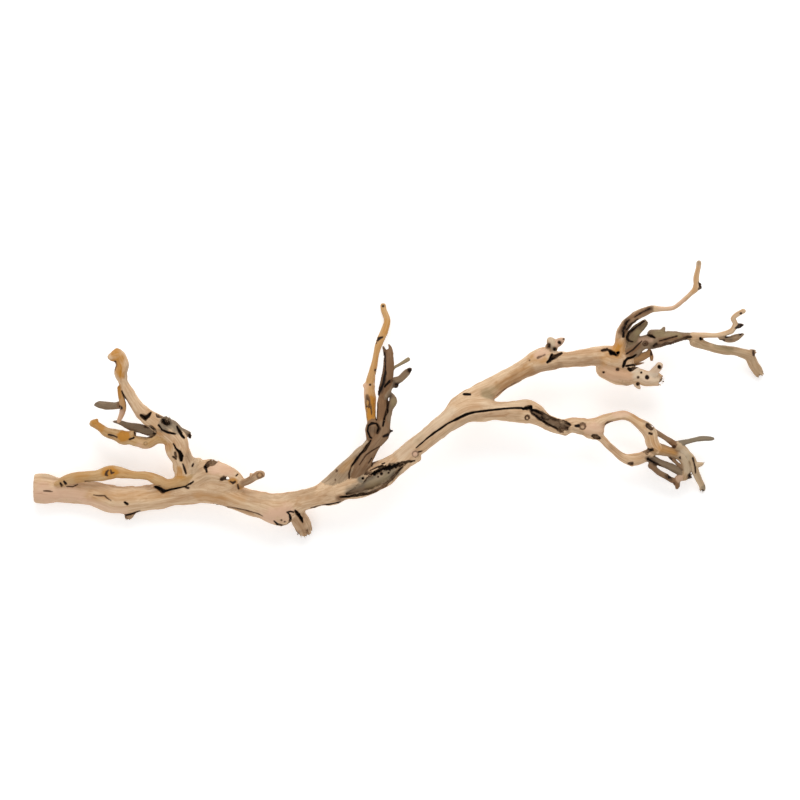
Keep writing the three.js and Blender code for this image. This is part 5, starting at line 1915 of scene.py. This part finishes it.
@dataclass(frozen=True)
class Splinters:
    """The splinters and bristles at the torn ends, spread by Geometry Nodes.

    Args:
        breaks: The torn ends.
        count: Splinters to each end.
        thickness: Radius of a splinter's root, in millimetres.
        seed: Seed of their places and leans.
    """

    breaks: tuple[Break, ...]
    count: int = 9
    thickness: float = 0.45
    seed: int = 11

    LEAN = 0.22
    LOWEST = -0.15
    SCATTER = 0.4
    SHORTEST = 0.45
    ROOTED = 1.2  # millimetres of each splinter that stay in the wood

    def _points(self, name: str) -> bpy.types.Object:
        """A mesh of loose points that carry each splinter's turn and length."""
        rng = np.random.default_rng(self.seed)
        spots, turns, lengths = [], [], []
        for tear in self.breaks:
            way = np.array(tear.way, float)
            for _ in range(self.count):
                lean = way / np.linalg.norm(way) + rng.normal(0.0, self.LEAN, 3)
                lean[2] = max(lean[2], self.LOWEST)
                off = rng.normal(0.0, self.SCATTER, 3) * tear.width
                spots.append((np.array(tear.spot) + off - lean * self.ROOTED) * MM)
                turns.append(Vector(lean).to_track_quat("Z", "Y").to_euler())
                lengths.append(tear.length * rng.uniform(self.SHORTEST, 1.0) * MM)
        mesh = bpy.data.meshes.new(name)
        mesh.from_pydata([tuple(s) for s in spots], [], [])
        turn = mesh.attributes.new("turn", "FLOAT_VECTOR", "POINT")
        turn.data.foreach_set("vector", np.array(turns, np.float32).ravel())
        length = mesh.attributes.new("reach", "FLOAT", "POINT")
        length.data.foreach_set("value", np.array(lengths, np.float32))
        piece = bpy.data.objects.new(name, mesh)
        bpy.context.collection.objects.link(piece)
        return piece

    def _tree(self, material: bpy.types.Material) -> tuple[bpy.types.NodeTree, str]:
        """The tree that puts a splinter on every point, and its thickness input's identifier."""
        tree = bpy.data.node_groups.new("splinter_spread", "GeometryNodeTree")
        face = tree.interface
        face.new_socket("Geometry", in_out="INPUT", socket_type="NodeSocketGeometry")
        thick = face.new_socket("Thickness", in_out="INPUT", socket_type="NodeSocketFloat")
        face.new_socket("Geometry", in_out="OUTPUT", socket_type="NodeSocketGeometry")
        new = tree.nodes.new
        link = tree.links.new
        start, end = new("NodeGroupInput"), new("NodeGroupOutput")
        cone = new("GeometryNodeMeshCone")
        cone.inputs["Vertices"].default_value = 5
        cone.inputs["Radius Top"].default_value = 0.0
        cone.inputs["Depth"].default_value = 1.0
        link(start.outputs["Thickness"], cone.inputs["Radius Bottom"])
        turn, reach = new("GeometryNodeInputNamedAttribute"), new("GeometryNodeInputNamedAttribute")
        turn.data_type = "FLOAT_VECTOR"
        turn.inputs["Name"].default_value = "turn"
        reach.data_type = "FLOAT"
        reach.inputs["Name"].default_value = "reach"
        size = new("ShaderNodeCombineXYZ")
        size.inputs[0].default_value = 1.0
        size.inputs[1].default_value = 1.0
        link(reach.outputs[0], size.inputs[2])
        spread = new("GeometryNodeInstanceOnPoints")
        link(start.outputs["Geometry"], spread.inputs["Points"])
        link(cone.outputs["Mesh"], spread.inputs["Instance"])
        link(turn.outputs[0], spread.inputs["Rotation"])
        link(size.outputs[0], spread.inputs["Scale"])
        real, dress = new("GeometryNodeRealizeInstances"), new("GeometryNodeSetMaterial")
        dress.inputs["Material"].default_value = material
        link(spread.outputs[0], real.inputs[0])
        link(real.outputs[0], dress.inputs["Geometry"])
        link(dress.outputs[0], end.inputs[0])
        return tree, thick.identifier

    def build(self, material: bpy.types.Material) -> bpy.types.Object:
        """Builds the splinters as one plain mesh.

        Args:
            material: Their finish.

        Returns:
            The piece.
        """
        seeds = self._points("splinter_points")
        tree, identifier = self._tree(material)
        spread = seeds.modifiers.new("spread", "NODES")
        spread.node_group = tree
        spread[identifier] = self.thickness * MM
        graph = bpy.context.evaluated_depsgraph_get()
        mesh = bpy.data.meshes.new_from_object(seeds.evaluated_get(graph))
        seeds.modifiers.remove(spread)
        bpy.data.objects.remove(seeds)
        mesh.name = "splinters"
        piece = bpy.data.objects.new("splinters", mesh)
        bpy.context.collection.objects.link(piece)
        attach(piece, "root")
        return piece


SHORT_SPLINTER = 2.0
SPLINTER_GROWTH = 0.5
TORN_SHARE = 0.8


def torn_ends(sweeps: list[Sweep]) -> tuple[Break, ...]:
    """The torn ends, read from the limbs that end in a break.

    Args:
        sweeps: Every limb of the branch.

    Returns:
        One break for each snapped end.
    """
    tears = []
    for sweep in sweeps:
        limb = sweep.limb
        ends = ((limb.start, sweep.start_plane, limb.knots[0]), (limb.end, sweep.end_plane,
            limb.knots[-1]))
        for end, plane, knot in ends:
            if end is End.SNAPPED:
                length = SHORT_SPLINTER + knot[3] * SPLINTER_GROWTH
                tears.append(Break(tuple(plane[0]), tuple(plane[1]), knot[3] * TORN_SHARE, length))
    return tuple(tears)


class Wood:
    """Splits the skin into its pieces and gives each its mesh, attributes and finish."""

    GRAIN_RELIEF = np.array([0.045, 0.42, 0.42])
    SMOOTH_RELIEF = 0.1  # millimetres of grain on sound wood
    DEAD_RELIEF = 0.3  # millimetres more on dead wood
    WASH_SCALE = 0.12
    WASH_RAGGED = 0.7
    WASH_SHARE = 0.8
    WASH_REACH = 1.9
    BORDER_PASSES = 6
    RESTING = 0.3  # millimetres: a vertex lower than this is never lowered

    def __init__(self, skin: Skin, body: Body, washes: list[Wash], nodes: list[str]) -> None:
        """Works out what every vertex is like.

        Args:
            skin: The branch's surface.
            body: The field it came from.
            washes: The patches of colour.
            nodes: The pieces' names.
        """
        self.nodes = nodes
        self.body = body
        self.quads = skin.quads
        self.reading = skin.reading
        self.points = skin.points
        self.normals = self._normals()
        # Dark stains in the marks, with painted shade deepening inside them.
        self.stain = self._stain()
        self.tints = self._tints(washes)
        # Painted shade for hollows and creases, kept as the last channel of tint_c.
        self.cavity_shade = self._painted_cavity_shade()
        self.points = self._grained()
        self.normals = self._normals()

    def _normals(self) -> Array:
        """The outward normal at every vertex."""
        corner = self.points[self.quads]
        face = np.cross(corner[:, 2] - corner[:, 0], corner[:, 3] - corner[:, 1])
        total = np.zeros_like(self.points)
        for i in range(4):
            for axis in range(3):
                total[:, axis] += np.bincount(self.quads[:, i], face[:, axis], len(self.points))
        return total / np.maximum(np.linalg.norm(total, axis=1), 1e-9)[:, None]

    def _stain(self) -> Array:
        """How dark each vertex is painted in and round the marks, from 0 to 1: dark stains, with painted
        shade deepening inside them.
        """
        out = np.zeros(len(self.points))
        for mark, (low, high) in zip(self.body.marks, self.body.mark_boxes):
            flat = self.body.plane_of(mark.side, self.points)
            near = np.flatnonzero((flat > low).all(1) & (flat < high).all(1))
            if not len(near):
                continue
            gap, width = self.body.past_rim(mark, self.points[near])
            facing = self.body.facing(mark, self.points[near], self.reading.axis[near])
            inner = -0.15 - 0.55 * width
            dark = mark.stain * smooth_step(mark.fade + 0.3, inner, gap) * smooth_step(-1.5, 1.0, facing)
            out[near] = np.maximum(out[near], dark)
        return out

    def _tints(self, washes: list[Wash]) -> Array:
        """Strength of each tint at every vertex."""
        out = np.zeros((len(self.points), len(Tone)))
        for index, sweep in enumerate(self.body.sweeps):
            own = self.reading.limb == index
            for tone, strength in sweep.limb.tones:
                out[own, tone.value] = np.maximum(out[own, tone.value], strength)
        rough = self.body.noise.layered(self.points * self.WASH_SCALE)
        for wash in washes:
            path = np.array(wash.path, float)
            low = path[:, :3].min(0) - path[:, 3].max() * self.WASH_REACH
            high = path[:, :3].max(0) + path[:, 3].max() * self.WASH_REACH
            near = np.flatnonzero((self.points > low).all(1) & (self.points < high).all(1))
            if not len(near):
                continue
            spot = self.points[near]
            best = np.full(len(near), FAR)
            for a, b in zip(path[:-1], path[1:]):
                d = b - a
                t = np.clip(((spot - a[:3]) @ d[:3]) / (d[:3] @ d[:3]), 0.0, 1.0)
                away = np.linalg.norm(spot - a[:3] - t[:, None] * d[:3], axis=1)
                best = np.minimum(best, away / (a[3] + t * d[3]))
            best = best + rough[near] * self.WASH_RAGGED
            cover = smooth_step(1.4, 0.9 - wash.soft * 0.9, best)
            out[near, wash.tone.value] += self.WASH_SHARE * wash.strength * cover
        return np.clip(out, 0.0, 1.0)

    def _painted_cavity_shade(self) -> Array:
        """Painted shade: how hollow the surface is round each vertex, from 0 to 1, for darkening hollows
        and creases.
        """
        level = (self.points * self.normals).sum(1)
        value = np.zeros(len(self.points))
        for _ in range(2):
            middle = self.points[self.quads].mean(1)
            total = np.zeros_like(self.points)
            count = np.zeros(len(self.points))
            for i in range(4):
                count += np.bincount(self.quads[:, i], minlength=len(self.points))
                for axis in range(3):
                    total[:, axis] += np.bincount(self.quads[:, i], middle[:, axis], len(self.points))
            smooth = total / np.maximum(count, 1)[:, None]
            value += (smooth * self.normals).sum(1) - level
        return smooth_step(0.08, 0.6, value)

    def _grained(self) -> Array:
        """The vertices moved a little in and out along the grain."""
        grain = self.reading.grain * self.GRAIN_RELIEF
        other = self.reading.other_grain * self.GRAIN_RELIEF
        share = self.reading.share
        lift = self.body.noise.layered(grain, 2) * share + self.body.noise.layered(other,
            2) * (1 - share)
        dead = self.tints[:, [Tone.GREY.value, Tone.BROWN.value, Tone.CHAR.value]].max(1)
        moved = self.points + self.normals * (lift * (self.SMOOTH_RELIEF + self.DEAD_RELIEF * dead))[:,
            None]
        height = self.points[:, 2]
        moved[:, 2] = np.maximum(moved[:, 2], np.where(height < self.RESTING, height, 0.0))
        return moved

    def _owners(self) -> Array:
        """The piece each face belongs to, with ragged borders smoothed."""
        node_of = np.array([sweep.node for sweep in self.body.sweeps])
        vertex = node_of[self.reading.limb]
        count = len(self.nodes)
        votes = np.zeros((len(self.points), count), np.float32)
        face = vertex[self.quads[:, 0]]
        for _ in range(self.BORDER_PASSES):
            votes[:] = 0.0
            for i in range(4):
                np.add.at(votes, (self.quads[:, i], face), 1.0)
            total = votes[self.quads[:, 0]]
            for i in range(1, 4):
                total = total + votes[self.quads[:, i]]
            face = total.argmax(1)
        return face

    @staticmethod
    def _loops(quads: Array) -> list[list[int]]:
        """The open rims of a patch of quads, each as an ordered ring of vertices."""
        edges: dict[tuple[int, int], int] = {}
        for i in range(4):
            for a, b in zip(quads[:, i].tolist(), quads[:, (i + 1) % 4].tolist()):
                edges[(a, b)] = edges.get((a, b), 0) + 1
        rim: dict[int, list[int]] = {}
        for (a, b) in edges:
            if (b, a) not in edges:
                rim.setdefault(b, []).append(a)
        loops = []
        while rim:
            start = next(iter(rim))
            ring, here = [start], start
            while True:
                ways = rim.get(here)
                if not ways:
                    break
                step = ways.pop()
                if not ways:
                    del rim[here]
                if step == start:
                    break
                ring.append(step)
                here = step
            if len(ring) > 2:
                loops.append(ring)
        return loops

    def dress(self, finishes: dict[str, bpy.types.Material]) -> None:
        """Makes every piece.

        Args:
            finishes: The materials by slot name.
        """
        owners = self._owners()
        grain = self.reading.grain
        tints = self.tints
        layers = {
            "grain_a": grain, "grain_b": self.reading.other_grain,
            "tint_a": tints[:, 0:3], "tint_b": tints[:, 3:6],
            # tint_c holds the pale tint with some painted light, the marks' dark stains with painted
            # shade, and painted shade in hollows.
            "tint_c": np.stack([tints[:, 6], self.stain, self.cavity_shade], 1),
        }
        for index, name in enumerate(self.nodes):
            quads = self.quads[owners == index]
            if not len(quads):
                log.warning("%s has no surface", name)
                continue
            used, flat = np.unique(quads, return_inverse=True)
            local = flat.reshape(quads.shape)
            points = self.points[used]
            loops = self._loops(local)
            faces = [tuple(q) for q in local.tolist()]
            source = used
            for ring in loops:
                middle = len(source)
                points = np.vstack([points, points[ring].mean(0)])
                source = np.append(source, used[ring[0]])
                faces += [(ring[i], ring[(i + 1) % len(ring)], middle) for i in range(len(ring))]
            mesh = bpy.data.meshes.new(name + "_wood")
            mesh.from_pydata((points * MM).tolist(), [], faces)
            for layer, values in layers.items():
                data = mesh.attributes.new(layer, "FLOAT_VECTOR", "POINT")
                data.data.foreach_set("vector", values[source].astype(np.float32).ravel())
            for layer, values in {"share": self.reading.share, "scorch": tints[:,
                Tone.SCORCH.value]}.items():
                data = mesh.attributes.new(layer, "FLOAT", "POINT")
                data.data.foreach_set("value", values[source].astype(np.float32))
            mesh.polygons.foreach_set("use_smooth", np.ones(len(faces), bool))
            mesh.normals_split_custom_set_from_vertices(self.normals[source].tolist())
            piece = bpy.data.objects.new(name + "_wood", mesh)
            bpy.context.collection.objects.link(piece)
            slot = slot_of(name)
            mesh.materials.append(finishes[slot])
            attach(piece, "root")
            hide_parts(name)
            low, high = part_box(name)
            middle = (points.min(0) + points.max(0)) / 2 * MM
            off = (Vector(middle) - (low + high) / 2).length / MM
            log.info("%s: %d faces, %d closed rims, %.1f mm off its box", name, len(faces), len(loops),
                off)


def slot_of(name: str) -> str:
    """The material slot of a piece."""
    if name in BLEACHED_PIECES:
        return "bleached_wood"
    return "amber_wood" if name in AMBER_PIECES else "weathered_wood"


@dataclass(frozen=True)
class Studio:
    """The pale floor, the soft light and the camera that looks straight down.

    Args:
        height: The camera's height in metres.
        lens: Its focal length in millimetres.
        spread: Side of the floor in metres.
    """

    height: float = 5.556
    lens: float = 200.0
    spread: float = 12.0

    SKY = 0.6
    BACK_STEP = 0.003  # metres that the camera stands off the middle
    FLOOR_DROP = 0.0004  # metres that the floor lies below the branch
    FLOOR_GLOW = 0.32

    def build(self) -> None:
        """Builds the floor, the lights, the world and the camera."""
        self._floor()
        self._light("window", (0.3, 2.6, 2.4), 2.4, 60.0)
        self._light("fill", (-1.6, -1.4, 3.0), 3.0, 20.0)
        scene = bpy.context.scene
        world = bpy.data.worlds.new("studio")
        world.use_nodes = True
        sky = world.node_tree.nodes["Background"]
        sky.inputs[0].default_value = (1.0, 1.0, 1.0, 1.0)
        sky.inputs[1].default_value = self.SKY
        scene.world = world
        scene.view_settings.view_transform = "Standard"
        camera = bpy.data.objects.new("camera", bpy.data.cameras.new("camera"))
        camera.data.lens = self.lens
        camera.data.sensor_width = 36.0
        camera.location = (0.0, -self.BACK_STEP, self.height)
        bpy.context.collection.objects.link(camera)
        scene.camera = camera

    def _floor(self) -> None:
        """A wide, plain, nearly white floor."""
        half = self.spread / 2
        mesh = bpy.data.meshes.new("floor")
        low = -self.FLOOR_DROP
        corners = [(-half, -half, low), (half, -half, low), (half, half, low), (-half, half, low)]
        mesh.from_pydata(corners, [], [(0, 1, 2, 3)])
        shader = Shader("studio_floor")
        inputs = {"Base Color": (0.93, 0.93, 0.93, 1.0), "Roughness": 0.9, "Specular IOR Level": 0.1}
        inputs |= {"Emission Color": (1.0, 1.0, 1.0, 1.0), "Emission Strength": self.FLOOR_GLOW}
        surface = shader.add("ShaderNodeBsdfPrincipled", {}, inputs)
        shader.add("ShaderNodeOutputMaterial", {}, {"Surface": surface.outputs[0]})
        mesh.materials.append(shader.material)
        floor = bpy.data.objects.new("floor", mesh)
        bpy.context.collection.objects.link(floor)

    def _light(self, name: str, place: Rgb, size: float, power: float) -> None:
        """A large soft lamp that faces the branch."""
        lamp = bpy.data.lights.new(name, "AREA")
        lamp.size = size
        lamp.energy = power
        piece = bpy.data.objects.new(name, lamp)
        piece.location = place
        piece.rotation_euler = Vector(place).to_track_quat("Z", "Y").to_euler()
        bpy.context.collection.objects.link(piece)


GROWTHS: tuple[Growth, ...] = (
    Trunk(), LeftLimb(), Burl(), MainLimb(), MiddleLimb(), UpperLimb(), TwigCluster(), LowerLimb(),
    EndLattice(),
)
VOXEL = 1.15  # millimetres


def grow() -> tuple[Body, list[Wash], list[str]]:
    """Gathers every sub-assembly's limbs, marks and patches into one field.

    Returns:
        The field, the patches and the pieces' names.
    """
    sweeps: list[Sweep] = []
    nodes: list[str] = []
    marks: list[Mark] = []
    washes: list[Wash] = []
    for growth in GROWTHS:
        for name, limbs in growth.limbs().items():
            for limb in limbs:
                sweeps.append(Sweep(limb, len(nodes), 100 + len(sweeps)))
            nodes.append(name)
        marks += growth.marks()
        washes += growth.washes()
        log.info("%s: %d pieces, %d marks", type(growth).__name__, len(growth.limbs()),
            len(growth.marks()))
    return Body(sweeps, marks, Noise(5)), washes, nodes


def main() -> None:
    """Builds the branch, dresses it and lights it."""
    logging.basicConfig(level=logging.INFO, format="%(name)s: %(message)s")
    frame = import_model()
    Studio().build()
    body, washes, nodes = grow()
    for name in set(frame["nodes"]) ^ set(nodes):
        log.warning("%s is in only one of the frame and the branch", name)
    skin = Mesher(body, VOXEL).build()
    log.info("skin: %d vertices, %d faces", len(skin.points), len(skin.quads))
    finishes = {finish.name: finish.material() for finish in FINISHES}
    Wood(skin, body, washes, nodes).dress(finishes)
    Splinters(torn_ends(body.sweeps)).build(finishes["weathered_wood"])


if __name__ == "__main__":
    main()
